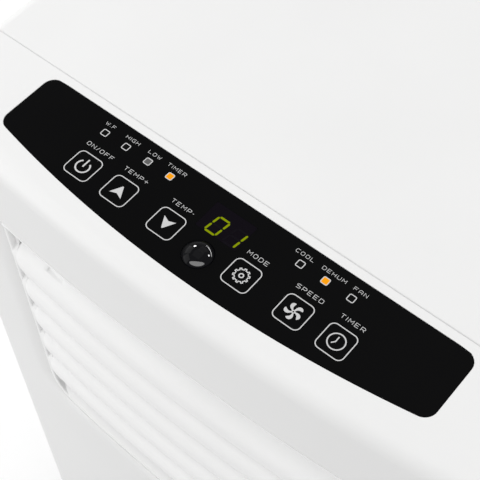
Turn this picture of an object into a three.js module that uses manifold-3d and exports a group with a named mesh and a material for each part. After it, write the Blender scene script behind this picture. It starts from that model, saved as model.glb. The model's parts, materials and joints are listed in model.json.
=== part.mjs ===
// Portable local air conditioner with a dehumidifying mode, on castors.
// Millimetres, +Z up, front towards -Y, origin on the floor under the middle of the case.

import * as THREE from 'three';
import { mergeVertices } from 'three/addons/utils/BufferGeometryUtils.js';
import Module from 'manifold-3d';

const wasm = await Module();
wasm.setup();

// ---------------------------------------------------------------- driving dimensions

const GAP = 0.3; // running and fitting gap between neighbouring pieces
const WALL = 3; // case moulding thickness

const CASE = {
  halfWidth: 220,
  frontY: -170,
  bowRadius: 1500,
  backY: 158,
  frontCorner: 18,
  backCorner: 25,
};
const CASE_TOP = 710;
const CASE_BOTTOM = 60;
const EDGE_ROUND = 10; // round between the top and the sides
const CASE_CURVE = 3; // curve divisions of every outline that follows the case
const SEAM_Y = -84; // joint between the front cover and the rest of the case
const TOP_COVER_SKIRT = 670; // lower edge of the top cover
const REAR_PANEL_HALF = 190;

// The control panel: a bowed black overlay let into the top of the front cover.
const OVERLAY = {
  halfWidth: 156.2,
  frontY: -151.3,
  bowRadius: 786,
  backY: -90,
  frontCorner: 8,
  backCorner: 8,
};
const OVERLAY_THICK = 1.2;
const LEDGE = 4; // width of the ledge that the overlay rests on
const KEY_ROW_Y = -129;
const KEY_SIZE = 19;
const KEY_CORNER = 3.6;
const KEY_TRAVEL_ROOM = 1;
const KEYS = [
  ['power_key', -92.6],
  ['temperature_up_key', -63.8],
  ['temperature_down_key', -27.6],
  ['mode_key', 27.6],
  ['speed_key', 63.8],
  ['timer_key', 92.6],
];
const LAMP_ROW_Y = -102.8;
const LAMP_SIZE = 4.4;
const LEFT_LAMPS = [-99.8, -82.8, -65.3, -48];
const RIGHT_LAMPS = [48, 65.3, 82.9];
const WINDOW = { halfWidth: 14.7, y0: -119, y1: -99 };
const DOME = { y: -133.4, radius: 9.5, rise: 5.5, sides: 20 };
const TRAY_FLOOR = 692;
const BOARD = { z: 698, thick: 1.6, partHeight: 1.6 };
const BOARD_TOP = BOARD.z + BOARD.thick;

// The air outlet and its louvre.
const OUTLET = { halfWidth: 151, z0: 407, z1: 643.5, corner: 14 };
const FRAME_WALL = 3.5;
const FRAME_BACK_Y = -112;
const SLAT_COUNT = 5;
const SLAT_PITCH = 37.3;
const SLAT_HALF = 144;
const FIRST_SLAT_Z = 577; // lower edge of the top slat
// A slat's section, closed: depth behind the case front and height over its lower edge.
const SLAT_OUTSIDE = [[4.5, 0], [1.8, 12], [0.5, 22], [2.2, 29.5], [8, 35.5], [14, 39]];
const SLAT_INSIDE = [[15, 37], [9.3, 33.4], [4.8, 28], [3.1, 22], [4.3, 12], [6.5, 0.8]];
const SLAT_PIVOT = { depth: 12, z: 10 };
const PIVOT_PIN = 2.5;
// The crank pin of a slat, from its pivot, on an arm at x.
const CRANK = { y: 24, z: 10, x: -119.5, thick: 3.5, pin: 1.6 };
const LINK_BAR = { x: -123, thick: 3, half: 3.5 };
const SLAT_NOTCH = { x0: -129, x1: -114, z: 35 }; // room for the link bar at the upper edge

// Inside, upper compartment.
const DECK_Z = 392;
const DECK_RIM = 14;
const FILTER_Y = 122;
const FILTER_PLATE_HALF = 6; // half the thickness of a filter's end plate
const COIL_Y = [86, 112];
const UPPER_FAN = { y: -8, z: 540, radius: 70, half: 104, housing: 115 };
const UPPER_WINDOW = { half: 165, z0: 430, z1: 640 };

// Inside, lower compartment.
const LOWER_WINDOW = { half: 165, z0: 100, z1: 217 };
const LOWER_FAN = { x: -60, z: 150, radius: 62, y0: 15, y1: 80 };
const COLLAR = { x: -95, z: 310, radius: 75, wall: 3, flange: 86, endY: 170 };
const DUCT = { half: 77, backY: 149 };
const COMPRESSOR = { x: 112, y: -58, radius: 60 };

const PAN_BOTTOM = 55;
const CASTORS = { x: 170, frontY: -120, rearY: 112, trail: 16, wheel: 20, wheelHalf: 8 };
const HANDLE = { y0: -35, y1: 75, z0: 582, z1: 618, depth: 28 };
const DRAIN = { x: 150, upperZ: 406, lowerZ: 74, spout: 9, bore: 6, startY: 152 };
const GLAND = { x: 165, z: 250 };

// ---------------------------------------------------------------- materials

const PAINTS = {
  white_case: { color: 0xf1f1f0, roughness: 0.38, metalness: 0 },
  white_louvre: { color: 0xe9e9e8, roughness: 0.42, metalness: 0 },
  black_panel: { color: 0x0f0f10, roughness: 0.22, metalness: 0 },
  smoked_window: { color: 0x17141a, roughness: 0.12, metalness: 0 },
  clear_guide: { color: 0xd8d6cf, roughness: 0.3, metalness: 0 },
  circuit_board: { color: 0x1f5a35, roughness: 0.5, metalness: 0 },
  grey_plastic: { color: 0x6f7275, roughness: 0.55, metalness: 0 },
  fan_plastic: { color: 0x35383b, roughness: 0.55, metalness: 0 },
  coil_metal: { color: 0xc3c6c9, roughness: 0.35, metalness: 1 },
  motor_steel: { color: 0x9a9da1, roughness: 0.4, metalness: 1 },
  compressor_black: { color: 0x1c1d1e, roughness: 0.45, metalness: 0.2 },
  copper_pipe: { color: 0xb87347, roughness: 0.3, metalness: 1 },
  galvanised: { color: 0xa9adb0, roughness: 0.5, metalness: 1 },
  filter_mesh: { color: 0x8d9196, roughness: 0.7, metalness: 0 },
  rubber_black: { color: 0x161616, roughness: 0.8, metalness: 0 },
};

// ---------------------------------------------------------------- solids from three.js shapes

function solid(geometry) {
  geometry.deleteAttribute('normal');
  geometry.deleteAttribute('uv');
  const merged = mergeVertices(geometry, 1e-4);
  const index = merged.index.array;
  const triangles = [];
  for (let i = 0; i < index.length; i += 3) {
    const [a, b, c] = index.slice(i, i + 3);
    if (a !== b && b !== c && c !== a) triangles.push(a, b, c);
  }
  return new wasm.Manifold(new wasm.Mesh({
    numProp: 3,
    vertProperties: new Float32Array(merged.attributes.position.array),
    triVerts: new Uint32Array(triangles),
  }));
}

function union(solids) {
  return solids.reduce((sum, next) => sum.add(next));
}

function cut(body, solids) {
  return solids.reduce((rest, next) => rest.subtract(next), body);
}

function box(x0, x1, y0, y1, z0, z1) {
  const geometry = new THREE.BoxGeometry(x1 - x0, y1 - y0, z1 - z0);
  return solid(geometry.translate((x0 + x1) / 2, (y0 + y1) / 2, (z0 + z1) / 2));
}

// A cylinder from one end to the other along an axis; (a, b) is its centre in the other two,
// in X, Y, Z order.
function cylinder(axis, radius, from, to, a, b, sides = 12) {
  const geometry = new THREE.CylinderGeometry(radius, radius, to - from, sides);
  const middle = (from + to) / 2;
  if (axis === 'x') return solid(geometry.rotateZ(Math.PI / 2).translate(middle, a, b));
  if (axis === 'y') return solid(geometry.translate(a, middle, b));
  return solid(geometry.rotateX(Math.PI / 2).translate(a, b, middle));
}

// Extrusions of a flat outline: plan outlines (x, y) along Z, front outlines (x, z) along Y and
// side outlines (y, z) along X.
function alongZ(shape, z0, z1, curveSegments = 2) {
  const options = { depth: z1 - z0, bevelEnabled: false, curveSegments };
  return solid(new THREE.ExtrudeGeometry(shape, options).translate(0, 0, z0));
}

function alongY(shape, y0, y1, curveSegments = 2) {
  const options = { depth: y1 - y0, bevelEnabled: false, curveSegments };
  return solid(new THREE.ExtrudeGeometry(shape, options).rotateX(Math.PI / 2).translate(0, y1, 0));
}

function turnedToX(geometry, x0) {
  const turn = new THREE.Matrix4().makeBasis(
    new THREE.Vector3(0, 1, 0),
    new THREE.Vector3(0, 0, 1),
    new THREE.Vector3(1, 0, 0),
  );
  return geometry.applyMatrix4(turn).translate(x0, 0, 0);
}

function alongX(shape, x0, x1, curveSegments = 2) {
  const options = { depth: x1 - x0, bevelEnabled: false, curveSegments };
  return solid(turnedToX(new THREE.ExtrudeGeometry(shape, options), x0));
}

function polygon(points) {
  return new THREE.Shape(points.map(([x, y]) => new THREE.Vector2(x, y)));
}

function roundedRectangle(x0, x1, y0, y1, radius) {
  const shape = new THREE.Shape();
  shape.absarc(x1 - radius, y0 + radius, radius, -Math.PI / 2, 0, false);
  shape.absarc(x1 - radius, y1 - radius, radius, 0, Math.PI / 2, false);
  shape.absarc(x0 + radius, y1 - radius, radius, Math.PI / 2, Math.PI, false);
  shape.absarc(x0 + radius, y0 + radius, radius, Math.PI, 1.5 * Math.PI, false);
  shape.closePath();
  return shape;
}

// A plan outline with a bowed front, straight sides and back, and four rounded corners.
function bowedOutline(plan, inset = 0) {
  const side = plan.halfWidth - inset;
  const bow = plan.bowRadius - inset;
  const bowCentreY = plan.frontY + plan.bowRadius;
  const back = plan.backY - inset;
  const front = Math.max(plan.frontCorner - inset, 1);
  const rear = Math.max(plan.backCorner - inset, 1);
  const cornerX = side - front;
  const cornerY = bowCentreY - Math.sqrt((bow - front) ** 2 - cornerX ** 2);
  const bowEnd = Math.atan2(cornerY - bowCentreY, cornerX);
  const shape = new THREE.Shape();
  shape.absarc(0, bowCentreY, bow, -Math.PI - bowEnd, bowEnd, false);
  shape.absarc(cornerX, cornerY, front, bowEnd, 0, false);
  shape.absarc(side - rear, back - rear, rear, 0, Math.PI / 2, false);
  shape.absarc(-side + rear, back - rear, rear, Math.PI / 2, Math.PI, false);
  shape.absarc(-cornerX, cornerY, front, Math.PI, Math.PI - bowEnd, false);
  shape.closePath();
  return shape;
}

// The case as a solid block with a rounded top edge.
function caseBlock(inset) {
  const round = EDGE_ROUND - inset;
  const start = CASE_BOTTOM - 4 * EDGE_ROUND;
  const geometry = new THREE.ExtrudeGeometry(bowedOutline(CASE, inset), {
    depth: CASE_TOP - inset - round - start,
    curveSegments: CASE_CURVE,
    bevelEnabled: true,
    bevelThickness: round,
    bevelSize: round,
    bevelOffset: -round,
    bevelSegments: 2,
  });
  return solid(geometry.translate(0, 0, start));
}

const FAR = 400;
const ROUND = 20; // sides on the larger round pieces
const caseShell = caseBlock(0).subtract(caseBlock(WALL));

const group = new THREE.Group();
group.name = 'portable_air_conditioner';

function addPart(name, body, paint) {
  const { vertProperties, triVerts } = body.getMesh();
  const geometry = new THREE.BufferGeometry();
  geometry.setAttribute('position', new THREE.BufferAttribute(new Float32Array(vertProperties), 3));
  geometry.setIndex(new THREE.BufferAttribute(new Uint32Array(triVerts), 1));
  geometry.computeVertexNormals();
  const mesh = new THREE.Mesh(geometry, new THREE.MeshStandardMaterial(PAINTS[paint]));
  mesh.name = name;
  group.add(mesh);
}

// ---------------------------------------------------------------- case

function makeFrontCover() {
  const region = box(-FAR, FAR, -FAR, SEAM_Y - GAP / 2, CASE_BOTTOM, FAR * 2);
  const opening = roundedRectangle(
    -OUTLET.halfWidth, OUTLET.halfWidth, OUTLET.z0, OUTLET.z1, OUTLET.corner,
  );
  const pocketFloor = CASE_TOP - OVERLAY_THICK - GAP;
  return cut(caseShell.intersect(region), [
    alongY(opening, -FAR, CASE.frontY + 40),
    alongZ(bowedOutline(OVERLAY, -GAP), pocketFloor, CASE_TOP + 1),
    alongZ(bowedOutline(OVERLAY, LEDGE), CASE_TOP - 2 * WALL, CASE_TOP + 1),
  ]);
}

function makeTopCover() {
  const behindSeam = SEAM_Y + GAP / 2;
  return caseShell.intersect(box(-FAR, FAR, behindSeam, FAR, TOP_COVER_SKIRT, FAR * 2));
}

function makeSidePanel(side) {
  const inner = REAR_PANEL_HALF + GAP / 2;
  const behindSeam = SEAM_Y + GAP / 2;
  const region = side > 0
    ? box(inner, FAR, behindSeam, FAR, CASE_BOTTOM, TOP_COVER_SKIRT - GAP)
    : box(-FAR, -inner, behindSeam, FAR, CASE_BOTTOM, TOP_COVER_SKIRT - GAP);
  const outer = side * CASE.halfWidth;
  const [x0, x1] = [outer - 10, outer + 10];
  const cuts = [
    box(x0, x1, HANDLE.y0 - GAP, HANDLE.y1 + GAP, HANDLE.z0 - GAP, HANDLE.z1 + GAP),
  ];
  if (side > 0) {
    for (const window of [UPPER_WINDOW, LOWER_WINDOW]) {
      cuts.push(box(
        x0, x1, FILTER_Y - FILTER_PLATE_HALF - GAP, FILTER_Y + FILTER_PLATE_HALF + GAP,
        window.z0 - GAP, window.z1 + GAP,
      ));
    }
  }
  return cut(caseShell.intersect(region), cuts);
}

function makeRearPanel() {
  const inner = REAR_PANEL_HALF - GAP / 2;
  const region = box(-inner, inner, 100, FAR, CASE_BOTTOM, TOP_COVER_SKIRT - GAP);
  const cuts = [
    cylinder('y', COLLAR.radius + GAP, 140, 170, COLLAR.x, COLLAR.z, ROUND),
    cylinder('y', DRAIN.spout + GAP, 140, 170, DRAIN.x, DRAIN.upperZ),
    cylinder('y', DRAIN.spout + GAP, 140, 170, DRAIN.x, DRAIN.lowerZ),
    cylinder('y', 8 + GAP, 140, 170, GLAND.x, GLAND.z),
  ];
  for (const window of [UPPER_WINDOW, LOWER_WINDOW]) {
    cuts.push(box(-window.half - GAP, window.half + GAP, 140, 170, window.z0 - GAP, window.z1 + GAP));
  }
  return cut(caseShell.intersect(region), cuts);
}

// A flat grille of level slots on both sides of a middle rib.
function makeGrille(window) {
  const y0 = CASE.backY - WALL;
  const slotPitch = 18;
  const slotHeight = 11;
  const border = 9;
  const rib = 5;
  const slots = [];
  const count = Math.floor((window.z1 - window.z0 - 2 * border) / slotPitch);
  const first = (window.z0 + window.z1 - (count - 1) * slotPitch - slotHeight) / 2;
  for (let i = 0; i < count; i += 1) {
    const z = first + i * slotPitch;
    slots.push(box(-window.half + border, -rib, y0 - 5, y0 + 9, z, z + slotHeight));
    slots.push(box(rib, window.half - border, y0 - 5, y0 + 9, z, z + slotHeight));
  }
  return cut(box(-window.half, window.half, y0, CASE.backY, window.z0, window.z1), slots);
}

// An air filter that pulls out of the right side: a frame, a thin mesh sheet behind its ribs,
// and an end plate to grip.
function makeFilter(window) {
  const half = 2.5;
  const border = 10;
  const inset = 4;
  const [x0, x1] = [-window.half, CASE.halfWidth - 12];
  const [z0, z1] = [window.z0 + inset, window.z1 - inset];
  const cells = [];
  const columns = 3;
  const width = (x1 - x0 - border) / columns;
  for (let column = 0; column < columns; column += 1) {
    const left = x0 + border + column * width;
    cells.push(box(left, left + width - border, FILTER_Y - 1.5, FILTER_Y + 9, z0 + border, z1 - border));
  }
  const frame = cut(box(x0, x1, FILTER_Y - half, FILTER_Y + half, z0, z1), cells);
  const [plate0, plate1] = [x1 - 1, CASE.halfWidth - 0.5];
  const plate = box(
    plate0, plate1, FILTER_Y - FILTER_PLATE_HALF, FILTER_Y + FILTER_PLATE_HALF, window.z0, window.z1,
  );
  const middle = (z0 + z1) / 2;
  const grip = box(plate1 - 6, plate1 + 5, FILTER_Y - 3.5, FILTER_Y + 3.5, middle - 22, middle + 22);
  return cut(union([frame, plate]), [grip]);
}

function makeHandleCup(side) {
  const mouth = side * (CASE.halfWidth - 0.4);
  const bottom = mouth - side * HANDLE.depth;
  const thick = 2;
  const sorted = (a, b) => [Math.min(a, b), Math.max(a, b)];
  const outer = box(...sorted(bottom, mouth), HANDLE.y0, HANDLE.y1, HANDLE.z0, HANDLE.z1);
  const hollow = box(
    ...sorted(bottom + side * thick, mouth + side * 5),
    HANDLE.y0 + thick, HANDLE.y1 - thick, HANDLE.z0 + thick, HANDLE.z1 - thick,
  );
  return outer.subtract(hollow);
}

// ---------------------------------------------------------------- control panel

function keyPlace([, x], grow, z0, z1) {
  const half = KEY_SIZE / 2 + grow;
  const outline = roundedRectangle(
    x - half, x + half, KEY_ROW_Y - half, KEY_ROW_Y + half, KEY_CORNER + grow,
  );
  return alongZ(outline, z0, z1, 1);
}

function makeOverlay() {
  const [z0, z1] = [CASE_TOP - OVERLAY_THICK, CASE_TOP];
  const [below, above] = [z0 - 1, z1 + 1];
  const lampHalf = LAMP_SIZE / 2;
  return cut(alongZ(bowedOutline(OVERLAY), z0, z1), [
    ...KEYS.map((key) => keyPlace(key, GAP, below, above)),
    ...[...LEFT_LAMPS, ...RIGHT_LAMPS].map((x) => box(
      x - lampHalf, x + lampHalf, LAMP_ROW_Y - lampHalf, LAMP_ROW_Y + lampHalf, below, above,
    )),
    box(-WINDOW.halfWidth - GAP, WINDOW.halfWidth + GAP, WINDOW.y0 - GAP, WINDOW.y1 + GAP, below, above),
    cylinder('z', DOME.radius + GAP, below, above, 0, DOME.y, DOME.sides),
  ]);
}

// A key: a flush cap, a wider flange that holds it under the overlay, and a stem.
function makeKey(key) {
  const flangeTop = CASE_TOP - OVERLAY_THICK - GAP;
  const flangeBottom = flangeTop - 1.5;
  const stemBottom = BOARD_TOP + BOARD.partHeight + KEY_TRAVEL_ROOM;
  return union([
    keyPlace(key, 0, flangeTop - 0.2, CASE_TOP),
    keyPlace(key, 1, flangeBottom, flangeTop),
    cylinder('z', 3, stemBottom, flangeBottom + 0.5, key[1], KEY_ROW_Y, 8),
  ]);
}

function makeDisplayWindow() {
  return box(
    -WINDOW.halfWidth, WINDOW.halfWidth, WINDOW.y0, WINDOW.y1, CASE_TOP - OVERLAY_THICK, CASE_TOP,
  );
}

// A clear dome over the remote receiver: a short barrel with a spherical cap.
function makeDome() {
  const profile = [new THREE.Vector2(0, CASE_TOP - 6), new THREE.Vector2(DOME.radius, CASE_TOP - 6)];
  const capRadius = (DOME.radius ** 2 + DOME.rise ** 2) / (2 * DOME.rise);
  const capCentre = CASE_TOP + DOME.rise - capRadius;
  const halfAngle = Math.asin(DOME.radius / capRadius);
  const steps = 4;
  for (let i = 0; i <= steps; i += 1) {
    const angle = halfAngle * (1 - i / steps);
    const radius = i === steps ? 0 : capRadius * Math.sin(angle);
    profile.push(new THREE.Vector2(radius, capCentre + capRadius * Math.cos(angle)));
  }
  const geometry = new THREE.LatheGeometry(profile, DOME.sides).rotateX(Math.PI / 2);
  return solid(geometry.translate(0, DOME.y, 0));
}

// The light guide: a bar behind the display with an arm and a post up into each lamp window.
function makeLightGuide() {
  const lamps = [...LEFT_LAMPS, ...RIGHT_LAMPS];
  const [z0, z1] = [CASE_TOP - 8, CASE_TOP - 5];
  const barY = [WINDOW.y1 + 1, WINDOW.y1 + 4.5];
  const half = LAMP_SIZE / 2 - GAP;
  const bar = box(Math.min(...lamps) - 3, Math.max(...lamps) + 3, ...barY, z0, z1);
  const arms = lamps.map((x) => box(x - half, x + half, LAMP_ROW_Y - half, barY[0] + 1, z0, z1));
  const posts = lamps.map((x) => box(
    x - half, x + half, LAMP_ROW_Y - half, LAMP_ROW_Y + half, z0 + 1, CASE_TOP - 0.1,
  ));
  return union([bar, ...arms, ...posts]);
}

function makeControlTray() {
  const rim = CASE_TOP - WALL - GAP;
  const outer = alongZ(bowedOutline(OVERLAY, -3.5), TRAY_FLOOR, rim);
  const inner = alongZ(bowedOutline(OVERLAY, -1.5), TRAY_FLOOR + 2, rim + 1);
  const posts = [-145, -50, 50, 145].map((x) => cylinder(
    'z', 3, TRAY_FLOOR + 1, BOARD.z - GAP, x, KEY_ROW_Y + 20, 8,
  ));
  return union([outer.subtract(inner), ...posts]);
}

// The display board with a tactile switch under each key and a lamp under each window.
function makeDisplayBoard() {
  const square = (x, y, half) => box(
    x - half, x + half, y - half, y + half, BOARD_TOP - 0.5, BOARD_TOP + BOARD.partHeight,
  );
  const switches = KEYS.map(([, x]) => square(x, KEY_ROW_Y, 3));
  const lamps = [...LEFT_LAMPS, ...RIGHT_LAMPS].map((x) => square(x, LAMP_ROW_Y, 1.5));
  const plate = box(-148, 148, KEY_ROW_Y - 8, KEY_ROW_Y + 34, BOARD.z, BOARD_TOP);
  return union([plate, ...switches, ...lamps]);
}

function makeDigitDisplay() {
  const bottom = BOARD_TOP + GAP;
  return box(-13, 13, WINDOW.y0 + 1, WINDOW.y1 - 1, bottom, CASE_TOP - OVERLAY_THICK - GAP);
}

// ---------------------------------------------------------------- air outlet

const bowAt = (x) => x ** 2 / (2 * CASE.bowRadius);
const pivotY = CASE.frontY + bowAt(SLAT_HALF) + SLAT_PIVOT.depth;
const slatPivotZ = (i) => FIRST_SLAT_Z - i * SLAT_PITCH + SLAT_PIVOT.z;

// The lining of the outlet: a band with a sill, a hood over the top slat, and a cheek at each
// side that the slats turn in.
function makeOutletFrame() {
  const { halfWidth, z0, z1, corner } = OUTLET;
  const ring = (inset, front, back) => alongY(roundedRectangle(
    -halfWidth + inset, halfWidth - inset, z0 + inset, z1 - inset, corner - inset,
  ), front, back);
  const ends = [-halfWidth + corner, halfWidth - corner];
  const sill = alongX(polygon([[-163, z0 + 1], [-163, z0 + 5], [-125, z0 + 9], [-120, z0 + 1]]), ...ends);
  const hood = alongX(
    polygon([[-164, z1 - 1], [-164, z1 - 6], [-150, z1 - 23], [-146, z1 - 23], [-138, z1 - 1]]), ...ends,
  );
  const cheekX = [SLAT_HALF + 0.6, halfWidth - 1];
  const cheeks = [cheekX, cheekX.map((x) => -x).reverse()].map(([x0, x1]) => box(
    x0, x1, pivotY - 7, FRAME_BACK_Y, z0 + corner, z1 - corner,
  ));
  const band = ring(GAP, CASE.frontY, FRAME_BACK_Y).subtract(ring(FRAME_WALL, -FAR, FAR));
  const behindFace = alongZ(bowedOutline(CASE, 2), z0 - 10, z1 + 10);
  const holes = [];
  for (let i = 0; i < SLAT_COUNT; i += 1) {
    holes.push(cylinder('x', PIVOT_PIN + GAP, -FAR, FAR, pivotY, slatPivotZ(i), 10));
  }
  return cut(union([band, sill, hood, ...cheeks]).intersect(behindFace), holes);
}

// A slat: a curved blade, bowed like the front, with a pivot pin on a lug at each end and a
// crank arm behind it near the left end.
function makeSlat(i) {
  const section = polygon([...SLAT_OUTSIDE, ...SLAT_INSIDE].map(([depth, z]) => [CASE.frontY + depth, z]));
  const geometry = new THREE.ExtrudeGeometry(section, {
    depth: 2 * SLAT_HALF, steps: 6, bevelEnabled: false,
  });
  turnedToX(geometry, -SLAT_HALF).translate(0, 0, FIRST_SLAT_Z - i * SLAT_PITCH);
  const position = geometry.attributes.position;
  for (let k = 0; k < position.count; k += 1) {
    position.setY(k, position.getY(k) + bowAt(position.getX(k)));
  }
  const z = slatPivotZ(i);
  const notch = box(
    SLAT_NOTCH.x0, SLAT_NOTCH.x1, CASE.frontY, FRAME_BACK_Y,
    z - SLAT_PIVOT.z + SLAT_NOTCH.z, z - SLAT_PIVOT.z + 50,
  );
  const [crankY, crankZ] = [pivotY + CRANK.y, z + CRANK.z];
  const arm = alongX(polygon([
    [pivotY - 11, z + 4], [crankY + 1, crankZ - 3], [crankY + 3, crankZ], [crankY + 1, crankZ + 3],
    [pivotY - 11, z + 16],
  ]), CRANK.x, CRANK.x + CRANK.thick);
  const lug = polygon([[pivotY - 9, z - 5], [pivotY + 4, z - 4], [pivotY + 4, z + 4], [pivotY - 9, z + 7]]);
  const motorPin = i === 2 ? 14 : 8;
  return union([
    solid(geometry).subtract(notch),
    arm,
    alongX(lug, SLAT_HALF - 4, SLAT_HALF),
    alongX(lug, -SLAT_HALF, -SLAT_HALF + 4),
    cylinder('x', CRANK.pin, LINK_BAR.x - 1, CRANK.x + 1, crankY, crankZ, 8),
    cylinder('x', PIVOT_PIN, SLAT_HALF - 2, SLAT_HALF + 8, pivotY, z, 10),
    cylinder('x', PIVOT_PIN, -SLAT_HALF - motorPin, -SLAT_HALF + 2, pivotY, z, 10),
  ]);
}

// The link bar that makes the slats turn together.
function makeLinkBar() {
  const y = pivotY + CRANK.y;
  const [low, high] = [slatPivotZ(SLAT_COUNT - 1) + CRANK.z, slatPivotZ(0) + CRANK.z];
  const { x, thick, half } = LINK_BAR;
  const holes = [];
  for (let i = 0; i < SLAT_COUNT; i += 1) {
    holes.push(cylinder('x', CRANK.pin + GAP, x - 5, x + 9, y, slatPivotZ(i) + CRANK.z, 8));
  }
  const outline = roundedRectangle(y - half, y + half, low - half, high + half, half - 0.01);
  return cut(alongX(outline, x, x + thick), holes);
}

// The geared motor that swings the middle slat.
function makeSwingMotor() {
  const z = slatPivotZ(2);
  const [x0, x1] = [-OUTLET.halfWidth - 26, -OUTLET.halfWidth - 0.5];
  const body = alongX(roundedRectangle(pivotY - 4, pivotY + 26, z - 15, z + 15, 5), x0, x1 - 4);
  const boss = cylinder('x', 5.5, x1 - 5, x1, pivotY, z);
  return union([body, boss]).subtract(cylinder('x', PIVOT_PIN + GAP, x1 - 12, FAR, pivotY, z, 10));
}

// ---------------------------------------------------------------- fans, coils and compressor

// A spiral fan-case outline in a flat plane, growing from the tongue round to the outlet.
function spiral(cx, cy, small, large, startDegrees, sweepDegrees) {
  const steps = 14;
  const points = [];
  for (let i = 0; i <= steps; i += 1) {
    const angle = THREE.MathUtils.degToRad(startDegrees + (sweepDegrees * i) / steps);
    const radius = small + ((large - small) * i) / steps;
    points.push([cx + radius * Math.cos(angle), cy + radius * Math.sin(angle)]);
  }
  return polygon(points);
}

// A centrifugal fan wheel along its own Z: end rings, a back or middle plate, blades and a hub.
function fanWheel(radius, from, to, plateAt, bladeCount) {
  const ringWidth = radius * 0.2;
  const ring = (z0, z1) => cylinder('z', radius, z0, z1, 0, 0, ROUND)
    .subtract(cylinder('z', radius - ringWidth, z0 - 1, z1 + 1, 0, 0, ROUND));
  const pieces = [
    cylinder('z', radius, plateAt, plateAt + 2.5, 0, 0, ROUND),
    cylinder('z', 12, plateAt - 6, plateAt + 14, 0, 0),
    ring(to - 3, to),
  ];
  if (plateAt - from > 10) pieces.push(ring(from, from + 3));
  for (let i = 0; i < bladeCount; i += 1) {
    const blade = new THREE.BoxGeometry(ringWidth * 0.8, 2, to - from - 1);
    blade.rotateZ(THREE.MathUtils.degToRad(-30));
    blade.translate(radius - ringWidth / 2, 0, (from + to) / 2);
    blade.rotateZ((2 * Math.PI * i) / bladeCount);
    pieces.push(solid(blade));
  }
  return union(pieces).subtract(cylinder('z', 4 + GAP, plateAt - 20, plateAt + 40, 0, 0, 10));
}

function placed(body, matrix) {
  return body.transform(matrix.toArray());
}

const UP_TO_X = new THREE.Matrix4().makeBasis(
  new THREE.Vector3(0, 1, 0), new THREE.Vector3(0, 0, 1), new THREE.Vector3(1, 0, 0),
);
const UP_TO_Y = new THREE.Matrix4().makeBasis(
  new THREE.Vector3(0, 0, 1), new THREE.Vector3(1, 0, 0), new THREE.Vector3(0, 1, 0),
);

function makeUpperWheel() {
  const { y, z, radius, half } = UPPER_FAN;
  const place = new THREE.Matrix4().makeTranslation(0, y, z).multiply(UP_TO_X);
  return placed(fanWheel(radius, -half, half, -1.25, 8), place);
}

function makeLowerWheel() {
  const { x, z, radius, y0, y1 } = LOWER_FAN;
  const place = new THREE.Matrix4().makeTranslation(x, 0, z).multiply(UP_TO_Y);
  return placed(fanWheel(radius, y0 + 12, y1 - 7, y0 + 12, 8), place);
}

// The evaporator fan case: a wide scroll that blows forward into the outlet, open at both
// ends round the wheel, with a flange against the outlet frame.
function makeUpperHousing() {
  const { y, z, radius, housing } = UPPER_FAN;
  const outline = (t) => [
    spiral(y, z, radius + 8 - t, radius + 18 - t, -150, 240),
    polygon([
      [y, z + radius + 18 - t], [-108 + (t ? -10 : 0), 640 - t], [-108 + (t ? -10 : 0), 420 + t],
      [y - radius * 0.72, z - radius * 0.86 + t], [y, z - 30],
    ]),
  ];
  const thick = 2.5;
  const outer = union(outline(0).map((shape) => alongX(shape, -housing, housing)));
  const inner = union(outline(thick).map((shape) => alongX(shape, -housing + thick, housing - thick)));
  const flange = box(-142, 142, -110.5, -108, 418, 641);
  const mouth = box(-housing + thick, housing - thick, -115, -100, 424, 636);
  const eyes = cylinder('x', radius - 12, -FAR, FAR, y, z, ROUND);
  return cut(union([outer, flange]), [inner, mouth, eyes]);
}

// The condenser fan case: a scroll open to the coil behind it, and a duct up to the collar.
function makeLowerHousing() {
  const { x, z, radius, y0, y1 } = LOWER_FAN;
  const thick = 2.5;
  const scroll = (t, a, b) => alongY(spiral(x, z, radius + 7 - t, radius + 22 - t, 20, -300), a, b);
  const duct = (t, a, b) => box(
    COLLAR.x - DUCT.half + t, COLLAR.x + DUCT.half - t, a, b,
    COLLAR.z - DUCT.half + t, COLLAR.z + DUCT.half - t,
  );
  const throat = (t, a, b) => box(
    x - radius - 20 + t, x - 8 - t, a, b, z, COLLAR.z - DUCT.half + 4 + (t ? 4 : 0),
  );
  const outer = union([scroll(0, y0, y1), duct(0, y0, DUCT.backY), throat(0, y0, y1)]);
  const [a, b] = [y0 + thick, y1 - thick];
  return cut(outer, [
    scroll(thick, a, b),
    throat(thick, a, b),
    duct(thick, a, DUCT.backY - thick),
    cylinder('y', COLLAR.radius - COLLAR.wall, a, 200, COLLAR.x, COLLAR.z, ROUND),
    cylinder('y', radius - 12, b - 5, y1 + 5, x, z, ROUND),
    cylinder('y', 7, y0 - 5, a + 5, x, z),
  ]);
}

function makeMotor(axis, radius, from, to, shaftTo, a, b) {
  const body = cylinder(axis, radius, from, to, a, b, ROUND);
  const band = cylinder(axis, radius + 3, (2 * from + to) / 3, (from + 2 * to) / 3, a, b, ROUND);
  const shaft = cylinder(axis, 4, Math.min(shaftTo, from + 5), Math.max(shaftTo, to - 5), a, b, 10);
  return union([body, band, shaft]);
}

// A finned heat exchanger: end plates, a fin block with upright grooves, and return bends.
function makeCoil(x0, x1, z0, z1) {
  const [y0, y1] = COIL_Y;
  const block = box(x0, x1, y0 + 2, y1 - 2, z0, z1);
  const plates = [x0, x1 - 2].map((x) => box(x, x + 2, y0, y1, z0, z1));
  const grooves = [];
  const groovePitch = 30;
  for (let x = x0 + groovePitch; x < x1 - groovePitch / 2; x += groovePitch) {
    grooves.push(box(x, x + 12, y1 - 6, y1 + 5, z0 - 1, z1 + 1));
  }
  const bends = [];
  const middle = (y0 + y1) / 2;
  for (let z = z0 + 18; z < z1 - 10; z += 44) {
    bends.push(cylinder('x', 4, x0 - 7, x0 + 2, middle, z, 8));
  }
  return union([cut(block, grooves), ...plates, ...bends]);
}

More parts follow.
